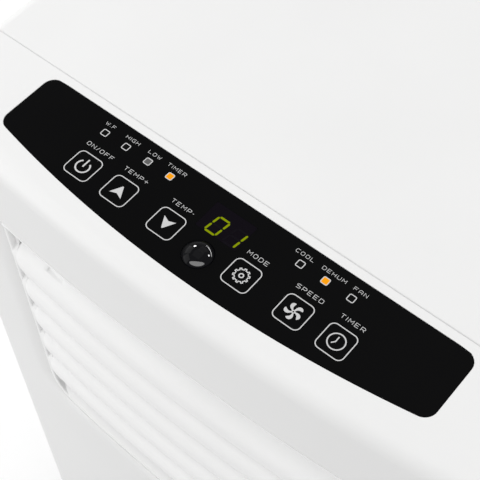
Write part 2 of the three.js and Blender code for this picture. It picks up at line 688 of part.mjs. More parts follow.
// The compressor: a domed can on a foot plate with rubber feet, and its accumulator.
function makeCompressor() {
  const { x, y, radius } = COMPRESSOR;
  const profile = [
    [0, 66], [radius * 0.8, 66], [radius, 82], [radius, 262], [radius * 0.85, 282],
    [radius * 0.5, 294], [0, 298],
  ].map(([r, z]) => new THREE.Vector2(r, z));
  const can = solid(new THREE.LatheGeometry(profile, ROUND).rotateX(Math.PI / 2).translate(x, y, 0));
  const floor = PAN_BOTTOM + WALL + GAP;
  const plate = box(x - 62, x + 62, y - 50, y + 50, floor + 8, floor + 11);
  const feet = [[-52, -40], [52, -40], [-52, 40], [52, 40]].map(([dx, dy]) => cylinder(
    'z', 8, floor, floor + 9, x + dx, y + dy, 8,
  ));
  const accumulator = cylinder('z', 20, 110, 230, x + 10, y + radius + 24, 16);
  const strap = box(x + 5, x + 15, y + radius - 6, y + radius + 8, 160, 170);
  return union([can, plate, ...feet, accumulator, strap]);
}

// The suction pipe from the evaporator down through the deck to the compressor.
const SUCTION_PIPE = [
  [175, 74, 460], [175, 66, 430], [175, 60, 395], [172, 56, 350], [160, 50, 310],
  [140, 36, 270], [122, 26, 245], [122, 26, 230.3],
];

function makeSuctionPipe() {
  const path = new THREE.CatmullRomCurve3(SUCTION_PIPE.map((p) => new THREE.Vector3(...p)));
  const section = new THREE.Shape().absarc(0, 0, 5, 0, 2 * Math.PI, false);
  return solid(new THREE.ExtrudeGeometry(section, {
    extrudePath: path, steps: 14, curveSegments: 4, bevelEnabled: false,
  }));
}

// ---------------------------------------------------------------- base, deck and electrics

// A spout with a drain bore, out through the rear panel.
function drainSpout(z) {
  return cylinder('y', DRAIN.spout, DRAIN.startY, CASE.backY + 4, DRAIN.x, z);
}

function drainBore(z) {
  return cylinder('y', DRAIN.bore + GAP, DRAIN.startY - 12, FAR, DRAIN.x, z);
}

function castorPlaces() {
  return [
    ['front_left', -CASTORS.x, CASTORS.frontY],
    ['front_right', CASTORS.x, CASTORS.frontY],
    ['rear_left', -CASTORS.x, CASTORS.rearY],
    ['rear_right', CASTORS.x, CASTORS.rearY],
  ];
}

const FLOAT = { x: -142, y: -60, z: 80, arm: 24 };

function makeBasePan() {
  const floor = PAN_BOTTOM + WALL;
  const top = 96;
  const tray = alongZ(bowedOutline(CASE, WALL + GAP), PAN_BOTTOM, top, CASE_CURVE)
    .subtract(alongZ(bowedOutline(CASE, 2 * WALL + GAP), floor, top + 1, CASE_CURVE));
  const sockets = castorPlaces().map(([, x, y]) => cylinder('z', 9, floor - 1, 84, x, y, 10));
  const stems = castorPlaces().map(([, x, y]) => cylinder('z', 4 + GAP, PAN_BOTTOM - 5, 81, x, y, 8));
  const lugs = [-12, 9].map((dy) => box(
    FLOAT.x - 4, FLOAT.x + 4, FLOAT.y + dy, FLOAT.y + dy + 3, floor - 1, FLOAT.z + 5,
  ));
  const pinHole = cylinder('y', 2 + GAP, FLOAT.y - 20, FLOAT.y + 20, FLOAT.x, FLOAT.z, 8);
  const body = union([tray, ...sockets, ...lugs, drainSpout(DRAIN.lowerZ)]);
  return cut(body, [...stems, pinHole, drainBore(DRAIN.lowerZ)]);
}

// The float in the base pan, on an arm that works the water-full switch.
function makeFloatArm() {
  const { x, y, z, arm } = FLOAT;
  return union([
    cylinder('y', 2, y - 13, y + 13, x, z, 8),
    box(x - arm, x + 2, y - 4, y + 4, z - 2, z + 2),
    box(x - arm - 28, x - arm + 2, y - 16, y + 16, z - 16, z + 2),
  ]);
}

function makeMidDeck() {
  const plan = bowedOutline(CASE, WALL + GAP);
  const hollow = bowedOutline(CASE, 2 * WALL + GAP);
  const tray = alongZ(plan, DECK_Z, DECK_Z + DECK_RIM, CASE_CURVE)
    .subtract(alongZ(hollow, DECK_Z + WALL, DECK_Z + DECK_RIM + 1, CASE_CURVE));
  const pipeHole = cylinder('z', 8, DECK_Z - 5, DECK_Z + 9, 175, 60);
  const body = union([tray, drainSpout(DRAIN.upperZ)]);
  return cut(body, [pipeHole, drainBore(DRAIN.upperZ)]);
}

function makeDrainPlug(z) {
  const back = CASE.backY + 4 + GAP;
  return union([
    cylinder('y', DRAIN.bore, DRAIN.startY, back + 1, DRAIN.x, z),
    cylinder('y', 11, back, back + 5, DRAIN.x, z, 16),
  ]);
}

function makeCollar() {
  const { x, z, radius, wall, flange, endY } = COLLAR;
  const ring = cylinder('y', flange, CASE.backY + GAP, CASE.backY + 3, x, z, ROUND);
  const tube = cylinder('y', radius, DUCT.backY + GAP, endY, x, z, ROUND);
  return union([ring, tube]).subtract(cylinder('y', radius - wall, 100, 200, x, z, ROUND));
}

// The strain relief that the mains lead comes out of, with an open bore.
function makeCordGland() {
  const { x, z } = GLAND;
  return union([
    cylinder('y', 8, 148, 160, x, z),
    cylinder('y', 11, CASE.backY + GAP, CASE.backY + 4, x, z),
    cylinder('y', 6.5, 159, 169, x, z),
  ]).subtract(cylinder('y', 3.6, 140, 180, x, z, 10));
}

const ELECTRICS = { x0: 20, x1: 185, y0: 50, y1: 80, z0: 255, z1: 375 };

function makeElectricalBox() {
  const { x0, x1, y0, y1, z0, z1 } = ELECTRICS;
  const pipeSide = box(x1 - 34, x1 + 5, y0 - 5, y0 + 20, z0 - 5, z1 + 5);
  return cut(box(x0, x1, y0, y1, z0, z1), [
    box(x0 + 2, x1 - 36, y0 - 5, y1 - 2, z0 + 2, z1 - 2),
    pipeSide,
  ]);
}

function makeMainBoard() {
  const { x0, x1, y1, z0, z1 } = ELECTRICS;
  const y = y1 - 8;
  const plate = box(x0 + 6, x1 - 42, y, y + 1.6, z0 + 6, z1 - 6);
  const parts = [[34, 60, 26], [76, 30, 18], [100, 70, 16], [60, 88, 12]].map(([dx, dz, size]) => box(
    x0 + dx - size / 2, x0 + dx + size / 2, y - 12, y + 0.5, z0 + dz - size / 2, z0 + dz + size / 2,
  ));
  return union([plate, ...parts]);
}

function makeCapacitor() {
  const body = cylinder('z', 18, 110, 190, 45, 40, 16);
  const tabs = [-5, 5].map((dx) => box(45 + dx - 1, 45 + dx + 1, 36, 44, 189, 198));
  return union([body, ...tabs]);
}

// ---------------------------------------------------------------- castors

function makeCastorFork([, x, y]) {
  const { trail, wheelHalf, wheel } = CASTORS;
  const top = PAN_BOTTOM - GAP;
  const inside = wheelHalf + 0.6;
  const outside = inside + 2.4;
  const cheek = polygon([
    [y - 8, top - 10], [y - 8, top - 5], [y + trail + 8, top - 5], [y + trail + 10, top - 12],
    [y + trail + 6, wheel - 6], [y + trail - 6, wheel - 6],
  ]);
  return union([
    cylinder('z', 4, top - 6, 79, x, y, 8),
    cylinder('z', 15, top - 3, top, x, y, 16),
    box(x - outside, x + outside, y - 8, y + trail + 8, top - 10, top - 2.5),
    alongX(cheek, x - outside, x - inside),
    alongX(cheek, x + inside, x + outside),
    cylinder('x', 2.5, x - inside - 1, x + inside + 1, y + trail, wheel, 8),
  ]);
}

function makeCastorWheel([, x, y]) {
  const { trail, wheelHalf, wheel } = CASTORS;
  const tyre = cylinder('x', wheel, x - wheelHalf, x + wheelHalf, y + trail, wheel, ROUND);
  return tyre.subtract(cylinder('x', 2.5 + GAP, x - FAR, x + FAR, y + trail, wheel, 8));
}

// ---------------------------------------------------------------- assembly

addPart('base_pan', makeBasePan(), 'grey_plastic');
addPart('front_cover', makeFrontCover(), 'white_case');
addPart('top_cover', makeTopCover(), 'white_case');
addPart('left_side_panel', makeSidePanel(-1), 'white_case');
addPart('right_side_panel', makeSidePanel(1), 'white_case');
addPart('rear_panel', makeRearPanel(), 'white_case');
addPart('left_handle_cup', makeHandleCup(-1), 'white_case');
addPart('right_handle_cup', makeHandleCup(1), 'white_case');
addPart('upper_intake_grille', makeGrille(UPPER_WINDOW), 'white_case');
addPart('lower_intake_grille', makeGrille(LOWER_WINDOW), 'white_case');
addPart('upper_filter', makeFilter(UPPER_WINDOW), 'filter_mesh');
addPart('lower_filter', makeFilter(LOWER_WINDOW), 'filter_mesh');

addPart('control_overlay', makeOverlay(), 'black_panel');
addPart('display_window', makeDisplayWindow(), 'smoked_window');
addPart('remote_receiver_dome', makeDome(), 'smoked_window');
for (const key of KEYS) addPart(key[0], makeKey(key), 'black_panel');
addPart('lamp_light_guide', makeLightGuide(), 'clear_guide');
addPart('digit_display', makeDigitDisplay(), 'grey_plastic');
addPart('display_board', makeDisplayBoard(), 'circuit_board');
addPart('control_tray', makeControlTray(), 'grey_plastic');

addPart('outlet_frame', makeOutletFrame(), 'white_louvre');
for (let i = 0; i < SLAT_COUNT; i += 1) {
  addPart(`louvre_slat_${i + 1}`, makeSlat(i), 'white_louvre');
}
addPart('louvre_link_bar', makeLinkBar(), 'grey_plastic');
addPart('swing_motor', makeSwingMotor(), 'grey_plastic');

addPart('evaporator_coil', makeCoil(-170, 160, 418, 645), 'coil_metal');
addPart('evaporator_fan_wheel', makeUpperWheel(), 'fan_plastic');
addPart('evaporator_fan_housing', makeUpperHousing(), 'grey_plastic');
addPart(
  'evaporator_fan_motor',
  makeMotor('x', 38, UPPER_FAN.housing + 8, UPPER_FAN.housing + 62, -12, UPPER_FAN.y, UPPER_FAN.z),
  'motor_steel',
);
addPart('condenser_coil', makeCoil(-170, 165, 87, 226), 'coil_metal');
addPart('condenser_fan_wheel', makeLowerWheel(), 'fan_plastic');
addPart('condenser_fan_housing', makeLowerHousing(), 'grey_plastic');
addPart(
  'condenser_fan_motor',
  makeMotor('y', 42, -64, LOWER_FAN.y0 - 4, LOWER_FAN.y0 + 36, LOWER_FAN.x, LOWER_FAN.z),
  'motor_steel',
);
addPart('compressor', makeCompressor(), 'compressor_black');
addPart('suction_pipe', makeSuctionPipe(), 'copper_pipe');
addPart('mid_deck', makeMidDeck(), 'grey_plastic');
addPart('float_arm', makeFloatArm(), 'fan_plastic');
addPart('electrical_box', makeElectricalBox(), 'galvanised');
addPart('main_board', makeMainBoard(), 'circuit_board');
addPart('run_capacitor', makeCapacitor(), 'galvanised');

addPart('exhaust_collar', makeCollar(), 'white_case');
addPart('upper_drain_plug', makeDrainPlug(DRAIN.upperZ), 'rubber_black');
addPart('lower_drain_plug', makeDrainPlug(DRAIN.lowerZ), 'rubber_black');
addPart('cord_gland', makeCordGland(), 'rubber_black');
for (const castor of castorPlaces()) {
  addPart(`${castor[0]}_castor_fork`, makeCastorFork(castor), 'grey_plastic');
  addPart(`${castor[0]}_castor_wheel`, makeCastorWheel(castor), 'rubber_black');
}

export default group;
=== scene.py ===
"""The look of a portable air conditioner on castors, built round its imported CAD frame.

Lengths in the tables and helpers are millimetres in the part's frame; new_object turns them into metres.
"""

import json
import math

import bmesh
import bpy
from mathutils import Matrix, Vector


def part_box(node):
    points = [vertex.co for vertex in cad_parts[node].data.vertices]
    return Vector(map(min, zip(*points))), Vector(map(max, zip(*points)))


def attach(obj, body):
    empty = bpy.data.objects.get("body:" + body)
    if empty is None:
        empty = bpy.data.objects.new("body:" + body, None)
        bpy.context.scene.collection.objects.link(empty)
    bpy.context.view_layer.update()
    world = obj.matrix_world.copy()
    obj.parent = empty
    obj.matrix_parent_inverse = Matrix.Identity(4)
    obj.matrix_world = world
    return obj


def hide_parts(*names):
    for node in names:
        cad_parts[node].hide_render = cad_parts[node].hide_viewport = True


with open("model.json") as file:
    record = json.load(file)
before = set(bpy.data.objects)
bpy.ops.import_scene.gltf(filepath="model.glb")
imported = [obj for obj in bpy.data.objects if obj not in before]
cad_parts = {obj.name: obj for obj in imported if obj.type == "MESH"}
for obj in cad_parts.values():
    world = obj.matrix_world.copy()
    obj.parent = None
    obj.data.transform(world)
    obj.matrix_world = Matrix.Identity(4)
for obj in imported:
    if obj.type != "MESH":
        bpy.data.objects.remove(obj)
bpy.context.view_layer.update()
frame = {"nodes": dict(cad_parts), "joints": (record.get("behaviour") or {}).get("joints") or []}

MM = 0.001
GAP = 0.3  # gap between neighbouring pieces


def edges_of(node):
    """(x0, x1, y0, y1, z0, z1) of a CAD node, in millimetres."""
    low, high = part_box(node)
    return tuple(v / MM for pair in zip(low, high) for v in pair)


def middle_of(node):
    """The middle of a CAD node's box, in millimetres."""
    x0, x1, y0, y1, z0, z1 = edges_of(node)
    return (x0 + x1) / 2, (y0 + y1) / 2, (z0 + z1) / 2


# ---- sizes, from the frame

_, HALF_WIDTH, CASE_FRONT, FRONT_COVER_BACK, CASE_BOTTOM, CASE_TOP = edges_of("front_cover")
SEAM_Y = FRONT_COVER_BACK + GAP / 2
CASE_BACK = edges_of("top_cover")[3]
TOP_COVER_SKIRT = edges_of("top_cover")[4]
REAR_PANEL_HALF = edges_of("rear_panel")[1] + GAP / 2
WALL = 3.0
EDGE_ROUND = 10.0
SEAM_ROUND = 1.6  # round on the edges along a seam
CASE = dict(side=HALF_WIDTH, front=CASE_FRONT, bow=1500.0, back=CASE_BACK, front_corner=18.0, back_corner=25.0)

_, _side, _front, _back, _low, _high = edges_of("control_overlay")
OVERLAY = dict(side=_side, front=_front, bow=786.0, back=_back, front_corner=8.0, back_corner=8.0)
OVERLAY_THICK = _high - _low
KEY_NODES = ("power_key", "temperature_up_key", "temperature_down_key", "mode_key", "speed_key", "timer_key")
KEY_Y = middle_of("power_key")[1]
KEY_X = {name: middle_of(name)[0] for name in KEY_NODES}
LAMP_Y = -102.8
CREASE_OFFSET = 10.0  # from the overlay's front edge to the crease in front of it
CREASE_SLOPE = 0.10  # fall of the top beyond the crease


# ---- outlines in a plane


def quarter(steps):
    """Angles from 0 to 90 degrees, both included, in radians."""
    return [math.radians(90 * i / steps) for i in range(steps + 1)]


def arc(cx, cy, radius, start, end, steps):
    """Points on an arc, both ends included; angles in degrees."""
    points = []
    for i in range(steps + 1):
        a = math.radians(start + (end - start) * i / steps)
        points.append((cx + radius * math.cos(a), cy + radius * math.sin(a)))
    return points


def bowed_outline(plan, inset=0.0, corner_steps=8, bow_steps=40, side_steps=1):
    """Front bow from left to right, then round the right side, the back and the left side."""
    side = plan["side"] - inset
    bow = plan["bow"] - inset
    centre = plan["front"] + plan["bow"]
    back = plan["back"] - inset
    front_r = max(plan["front_corner"] - inset, 0.3)
    back_r = max(plan["back_corner"] - inset, 0.3)
    corner_x = side - front_r
    corner_y = centre - math.sqrt((bow - front_r) ** 2 - corner_x**2)
    end = math.degrees(math.atan2(corner_y - centre, corner_x))
    points = arc(0, centre, bow, -180 - end, end, bow_steps)
    points += arc(corner_x, corner_y, front_r, end, 0, corner_steps)[1:]
    points += between(points[-1], (side, back - back_r), side_steps)
    points += arc(side - back_r, back - back_r, back_r, 0, 90, corner_steps)
    points += arc(-side + back_r, back - back_r, back_r, 90, 180, corner_steps)
    points += between(points[-1], (-side, corner_y), side_steps)
    points += arc(-corner_x, corner_y, front_r, 180, 180 - end, corner_steps)[:-1]
    return points


def spread(start, stop, steps):
    """Evenly spread numbers, both ends included."""
    return [start + (stop - start) * i / steps for i in range(steps + 1)]


def between(a, b, steps):
    """Points strictly between a and b."""
    return list(zip(spread(a[0], b[0], steps), spread(a[1], b[1], steps)))[1:-1]


def rounded_rectangle(x0, x1, y0, y1, radius, inset=0.0, steps=6):
    """The outline of a rectangle drawn in by inset, with corners of the radius given."""
    right, left = x1 - inset - radius, x0 + inset + radius
    high, low = y1 - inset - radius, y0 + inset + radius
    points = []
    for start, (x, y) in zip((-90, 0, 90, 180), ((right, low), (right, high), (left, high), (left, low))):
        points += arc(x, y, radius, start, start + 90, steps)
    return points


def circle(cx, cy, radius, steps=48):
    return arc(cx, cy, radius, 0, 360 * (steps - 1) / steps, steps - 1)


def polar(centre, radius, degrees):
    """The point at a radius and angle from centre."""
    a = math.radians(degrees)
    return centre[0] + radius * math.cos(a), centre[1] + radius * math.sin(a)


# ---- meshes


def new_object(name, bm, smooth=40):
    """An object from a bmesh in millimetres, smooth where faces meet at less than the angle."""
    bmesh.ops.remove_doubles(bm, verts=bm.verts, dist=1e-4)
    bmesh.ops.recalc_face_normals(bm, faces=bm.faces)
    bmesh.ops.scale(bm, vec=(MM, MM, MM), verts=bm.verts)
    mesh = bpy.data.meshes.new(name)
    bm.to_mesh(mesh)
    bm.free()
    made = bpy.data.objects.new(name, mesh)
    bpy.context.scene.collection.objects.link(made)
    shade(made, smooth)
    return made


def smooth_by_angle(obj, degrees):
    obj.data.shade_smooth()
    obj.data.set_sharp_from_angle(angle=math.radians(degrees))


def shade(obj, degrees):
    """Smooth shading up to an angle, with the flat faces kept even."""
    smooth_by_angle(obj, degrees)
    weighted = obj.modifiers.new("normals", "WEIGHTED_NORMAL")
    weighted.keep_sharp = True
    weighted.weight = 80
    apply_modifiers(obj)


def place(obj, body, slot, material, *nodes):
    """Gives a piece its material, the CAD body that it rides on and the nodes it replaces; the slot is not
    used.
    """
    obj.data.materials.clear()
    obj.data.materials.append(material)
    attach(obj, body)
    if nodes:
        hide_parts(*nodes)
    return obj


def piece(name, bm, smooth, *placing):
    """Makes an object and gives it its place."""
    return place(new_object(name, bm, smooth), *placing)


def to_plane(plane, a, b, height):
    """A point from outline coordinates: plan outlines lie in z, front ones in y, side ones in x."""
    return {"z": (a, b, height), "y": (a, height, b), "x": (height, a, b)}[plane]


def ring_verts(bm, points):
    return [bm.verts.new(p) for p in points]


def bridge(bm, first, second):
    """Faces between two closed rings with the same number of vertices."""
    for a, b, c, d in zip(first, first[1:] + first[:1], second[1:] + second[:1], second):
        bm.faces.new((a, b, c, d))


def stack(bm, rings, cap_first=True, cap_last=True):
    """Joins rings of points one after the other, and caps the ends."""
    made = [ring_verts(bm, ring) for ring in rings]
    for first, second in zip(made, made[1:]):
        bridge(bm, first, second)
    if cap_first:
        bm.faces.new(made[0])
    if cap_last:
        bm.faces.new(made[-1])


def hoop(bm, rings):
    """Joins rings of points one after the other, and the last to the first."""
    made = [ring_verts(bm, ring) for ring in rings]
    for first, second in zip(made, made[1:] + made[:1]):
        bridge(bm, first, second)


def plate(bm, outline, plane, levels):
    """A solid from one outline function at several (inset, height) levels."""
    stack(bm, [[to_plane(plane, a, b, height) for a, b in outline(inset)] for inset, height in levels])


def prism(bm, outline, plane, low, high):
    """A straight solid on one outline, from one height to the other."""
    stack(bm, [[to_plane(plane, a, b, height) for a, b in outline] for height in (low, high)])


def round_edge(radius, steps):
    """(inset, drop) from a flat face round its edge to the wall beside it."""
    return [(radius * (1 - math.sin(a)), radius * (1 - math.cos(a))) for a in quarter(steps)]


def eased(z0, z1, edge, steps=2):
    """(inset, height) levels of a plate whose upper edge is rounded."""
    turn = reversed(round_edge(edge, steps))
    return [(0.0, z0)] + [(inset, z1 - drop) for inset, drop in turn]


def lathe(bm, profile, axis, centre, steps=48, hollow=False):
    """Turns a profile of (radius, along) round an axis; a hollow one is closed and clear of the axis."""
    rings = []
    for radius, along in profile:
        turned = [polar(centre, radius, 360 * i / steps) for i in range(steps)]
        rings.append([to_plane(axis, a, b, along) for a, b in turned])
    if hollow:
        hoop(bm, rings)
    else:
        stack(bm, rings, cap_first=profile[0][0] > 0, cap_last=profile[-1][0] > 0)


def block(bm, x0, x1, y0, y1, z0, z1):
    prism(bm, [(x0, y0), (x1, y0), (x1, y1), (x0, y1)], "z", z0, z1)


def apply_modifiers(obj):
    bpy.context.view_layer.update()
    depsgraph = bpy.context.evaluated_depsgraph_get()
    mesh = bpy.data.meshes.new_from_object(obj.evaluated_get(depsgraph))
    old = obj.data
    obj.modifiers.clear()
    obj.data = mesh
    bpy.data.meshes.remove(old)


def carve(obj, cutters):
    """Cuts closed shapes, each given as a function that fills a bmesh, out of an object."""
    made = []
    for i, cutter in enumerate(cutters):
        bm = bmesh.new()
        cutter(bm)
        tool = new_object(f"cutter_{i}", bm)
        made.append(tool)
        modifier = obj.modifiers.new("cut", "BOOLEAN")
        modifier.operation = "DIFFERENCE"
        modifier.solver = "EXACT"
        modifier.object = tool
    apply_modifiers(obj)
    for tool in made:
        mesh = tool.data
        bpy.data.objects.remove(tool)
        bpy.data.meshes.remove(mesh)


def box_cutter(x0, x1, y0, y1, z0, z1):
    return lambda bm: block(bm, x0, x1, y0, y1, z0, z1)


def prism_cutter(outline, plane, low, high):
    return lambda bm: prism(bm, outline, plane, low, high)


def round_cutter(radius, axis, centre, start, end, steps):
    return lambda bm: lathe(bm, [(radius, start), (radius, end)], axis, centre, steps)


def weigh_edges(obj, degrees, share):
    """Gives each sharp edge its share of the rounding, from the place of its middle."""
    bm = bmesh.new()
    bm.from_mesh(obj.data)
    weight = bm.edges.layers.float.new("bevel_weight_edge")
    for edge in bm.edges:
        if edge.calc_face_angle() > math.radians(degrees):
            middle = (edge.verts[0].co + edge.verts[1].co) / (2 * MM)
            edge[weight] = share(*middle)
    bm.to_mesh(obj.data)
    bm.free()


def soften(obj, width, segments=2, degrees=50, share=None):
    """Rounds the sharp edges and evens out the shading of the flat faces beside them."""
    bevel = obj.modifiers.new("bevel", "BEVEL")
    bevel.width = width * MM
    bevel.segments = segments
    bevel.limit_method = "ANGLE"
    bevel.angle_limit = math.radians(degrees)
    if share:
        weigh_edges(obj, degrees, share)
        bevel.limit_method = "WEIGHT"
    bevel.miter_outer = "MITER_ARC"
    bevel.use_clamp_overlap = True
    apply_modifiers(obj)
    shade(obj, 40)


# ---- materials


class Surface:
    """A Principled material with textures in metres of the object's own space."""

    def __init__(self, name, colour, roughness, metallic=0.0, specular=0.5):
        self.material = bpy.data.materials.new(name)
        self.material.use_nodes = True
        self.tree = self.material.node_tree
        self.inputs = self.tree.nodes["Principled BSDF"].inputs
        self.roughness = roughness
        self.inputs["Base Color"].default_value = (*colour, 1)
        self.inputs["Roughness"].default_value = roughness
        self.inputs["Metallic"].default_value = metallic
        self.inputs["Specular IOR Level"].default_value = specular

    def node(self, kind, sockets, **settings):
        """A node with its sockets linked to outputs or set to values."""
        made = self.tree.nodes.new(f"ShaderNode{kind}")
        for setting, value in settings.items():
            setattr(made, setting, value)
        for socket, value in sockets.items():
            if isinstance(value, bpy.types.NodeSocket):
                self.tree.links.new(value, made.inputs[socket])
            else:
                made.inputs[socket].default_value = value
        return made

    def here(self):
        return self.node("TexCoord", {}).outputs["Object"]

    def noise(self, scale, detail=3.0, stretch=None):
        vector = self.here()
        if stretch:
            vector = self.node("Mapping", {"Vector": vector, "Scale": stretch}).outputs["Vector"]
        return self.node("TexNoise", {"Vector": vector, "Scale": scale, "Detail": detail}).outputs["Fac"]

    def gloss(self, texture, low, high):
        """Lets the roughness wander between two shares of its value."""
        limits = {"To Min": self.roughness * low, "To Max": self.roughness * high}
        spread = self.node("MapRange", {"Value": texture, "From Min": 0.3, "From Max": 0.7, **limits})
        self.tree.links.new(spread.outputs["Result"], self.inputs["Roughness"])

    def ramp(self, texture, stops, target="Base Color"):
        """Colours a socket from a texture: (position, colour) of the two ends."""
        made = self.node("ValToRGB", {"Fac": texture})
        for element, (position, colour) in zip(made.color_ramp.elements, stops):
            element.position = position
            element.color = (*colour, 1)
        self.tree.links.new(made.outputs["Color"], self.inputs[target])

    def tint(self, texture, colour, change, target="Base Color"):
        """Lets a colour wander a little darker and lighter."""
        darker, lighter = ([min(c * (1 + d), 1) for c in colour] for d in (-change, change))
        self.ramp(texture, [(0.3, darker), (0.7, lighter)], target)

    def bump(self, texture, strength, distance):
        made = self.node("Bump", {"Height": texture, "Strength": strength, "Distance": distance})
        self.tree.links.new(made.outputs["Normal"], self.inputs["Normal"])


def plastic(name, colour, roughness=0.4, grain=900.0, depth=0.15, change=0.012, specular=0.5):
    """Moulded plastic: fine spark-eroded grain, slight flow mottling and uneven gloss."""
    made = Surface(name, colour, roughness, specular=specular)
    flow = made.noise(9.0, 4.0)
    made.tint(flow, colour, change)
    made.gloss(flow, 0.92, 1.08)
    made.bump(made.noise(grain, 2.0), depth, 0.00004)
    return made.material


def film(name, colour, change=0.1):
    """Black or smoked film that hardly mirrors the room."""
    return plastic(name, colour, 0.3, grain=1500, depth=0.05, change=change, specular=0.03)


def lamp_face(name, colour, roughness=0.4, change=0.05, specular=0.03):
    return plastic(name, colour, roughness, grain=1500, depth=0.1, change=change, specular=specular)


def metal(name, colour, roughness=0.35, stretch=(1, 1, 40), change=0.08):
    """Metal with fine drawn lines and dull patches."""
    made = Surface(name, colour, roughness, metallic=1.0)
    lines = made.noise(60.0, 6.0, stretch)
    made.tint(lines, colour, change)
    made.gloss(made.noise(25.0), 0.75, 1.3)
    made.bump(lines, 0.2, 0.0001)
    return made.material


def rubber(name, colour):
    """Dusty black rubber with a coarse grain."""
    made = Surface(name, colour, 0.75, specular=0.3)
    dust = made.noise(30.0, 4.0)
    made.tint(dust, colour, 0.35)
    made.gloss(dust, 0.65 / 0.75, 0.9 / 0.75)
    made.bump(made.noise(700.0, 4.0), 0.4, 0.0001)
    return made.material


def lamp_light(name, colour, strength):
    """A lit lamp or digit: it glows, a little brighter in places."""
    made = Surface(name, [c * 0.03 for c in colour], 0.4, specular=0.03)
    made.tint(made.noise(900.0, 2.0), colour, 0.06, "Emission Color")
    made.inputs["Emission Strength"].default_value = strength
    return made.material


def mesh_cloth(name, colour):
    """Filter mesh: a fine square weave."""
    made = Surface(name, colour, 0.7)
    place_here = made.here()
    waves = []
    for direction in ("X", "Z"):
        wave = made.node("TexWave", {"Vector": place_here, "Scale": 260.0}, bands_direction=direction)
        waves.append(wave.outputs["Fac"])
    weave = made.node("Math", dict(enumerate(waves)), operation="MAXIMUM").outputs[0]
    made.ramp(weave, [(0.5, [c * 0.25 for c in colour]), (0.9, colour)])
    made.bump(weave, 0.4, 0.0002)
    return made.material


WHITE = plastic("white_abs", (0.80, 0.80, 0.797), 0.42, depth=0.12)
# The louvre's plastic is lighter than the case's white. It is partly a whiter moulding and partly painted
# light, standing for the extra light that the slats' up-facing bulges catch.
LOUVRE_WHITE_WITH_PAINTED_LIGHT = plastic("louvre_abs_with_painted_light", (0.885, 0.885, 0.882), 0.45, depth=0.12)
BLACK_FILM = film("black_film", (0.0018, 0.0018, 0.002))
WINDOW_FILM = film("window_film", (0.0032, 0.0020, 0.0044))
WHITE_PRINT = plastic("white_print", (0.58, 0.58, 0.58), 0.6, grain=2500, depth=0.2, change=0.05, specular=0.2)
GREY_LAMP = lamp_face("grey_lamp", (0.10, 0.10, 0.10), 0.5, specular=0.2)
DARK_LAMP = lamp_face("unlit_lamp", (0.003, 0.003, 0.003))
DARK_SEGMENT = lamp_face("unlit_segment", (0.0042, 0.0032, 0.0056), change=0.1)
DOME_PLASTIC = plastic(
    "dome_plastic", (0.0006, 0.0006, 0.0008), 0.05, grain=400, depth=0.02, change=0.1, specular=0.08
)
GREY = plastic("grey_plastic", (0.16, 0.165, 0.17), 0.5, depth=0.3, change=0.05)
FAN_PLASTIC = plastic("fan_plastic", (0.035, 0.037, 0.04), 0.5, depth=0.3, change=0.08)
GUIDE = plastic("light_guide", (0.6, 0.58, 0.54), 0.25, depth=0.1)
BOARD = plastic("circuit_board", (0.02, 0.11, 0.04), 0.4, grain=300, depth=0.4, change=0.2)
FINS = metal("coil_fins", (0.62, 0.64, 0.66), stretch=(60, 1, 1))
STEEL = metal("motor_steel", (0.48, 0.49, 0.5))
SCREW = metal("screw_steel", (0.42, 0.42, 0.43), 0.3)
GALVANISED = metal("galvanised_sheet", (0.5, 0.51, 0.52), 0.45, stretch=(1, 1, 1), change=0.15)
COPPER = metal("copper_pipe", (0.62, 0.28, 0.13), 0.25)
BLACK_PAINT = plastic("compressor_paint", (0.012, 0.012, 0.013), 0.4, grain=500, depth=0.3, change=0.2)
RUBBER = rubber("black_rubber", (0.012, 0.012, 0.012))
CASTOR_GREY = plastic("castor_grey", (0.055, 0.057, 0.06), 0.5, depth=0.3, change=0.08)
MESH = mesh_cloth("filter_mesh", (0.22, 0.24, 0.26))
ORANGE_LIGHT = lamp_light("orange_lamp", (1.0, 0.36, 0.004), 1.0)
DIGIT_LIGHT = lamp_light("digit_light", (0.78, 1.0, 0.0), 0.27)


# ---- case

CREASE_CENTRE = OVERLAY["front"] + OVERLAY["bow"]
CREASE_RADIUS = OVERLAY["bow"] + CREASE_OFFSET
CREASE_SOFT = 2.0  # distance over which the fall sets in
FADE_HEIGHT = 60.0  # down from the top, where the walls' rings become level
BOW_STEPS, CORNER_POINTS, SIDE_STEPS, SEAM_STEPS = 56, 10, 12, 40  # the front cover's grid of faces
FIELD_COLUMNS, FIELD_ROWS = 48, 16  # the outlet's field in that grid
FIELD_TOP, FIELD_BOTTOM = 650.0, 395.0
CORNER_STEPS = 12
UPPER_DOWNS = (14, 20, 30, 45)  # distances from the top to the rings over and under the field
LOWER_DOWNS = (400, 500, 600, CASE_TOP - CASE_BOTTOM)
LINING_GAP = 0.04  # gap between the front cover and the outlet's lining
OUTLET_HALF = edges_of("outlet_frame")[1] + LINING_GAP
OUTLET_Z = (edges_of("outlet_frame")[4] - LINING_GAP, edges_of("outlet_frame")[5] + LINING_GAP)
OUTLET_CORNER = 14.0
OUTLET_SILL_CORNER = 20.0
SIDE_FLARE = (16.0, 3.2)  # width and depth of the flare beside the outlet
TOP_LIP = (1.6, 1.5)
SILL_FLARE = (6.5, 2.7)
HANDLE_CORNER = 14.0
HANDS = {-1: "left", 1: "right"}

# Rings of the top: how far each lies from the edge to the crease, and from the crease to the pocket.
TOP_SHARES = (
    (0.0, 0), (0.35, 0), (0.7, 0), (0.9, 0), (1.0, 0), (1.0, 0.1), (1.0, 0.3), (1.0, 0.6), (0.996, 0.996),
)


def past_crease(x, y):
    """Distance in front of the crease, negative behind it."""
    return math.hypot(x, y - CREASE_CENTRE) - CREASE_RADIUS


def fall(x, y):
    """How far the top lies below its flat part."""
    past = max(past_crease(x, y), 0.0)
    if past < CREASE_SOFT:
        return CREASE_SLOPE * past * past / (2 * CREASE_SOFT)
    return CREASE_SLOPE * (past - CREASE_SOFT / 2)


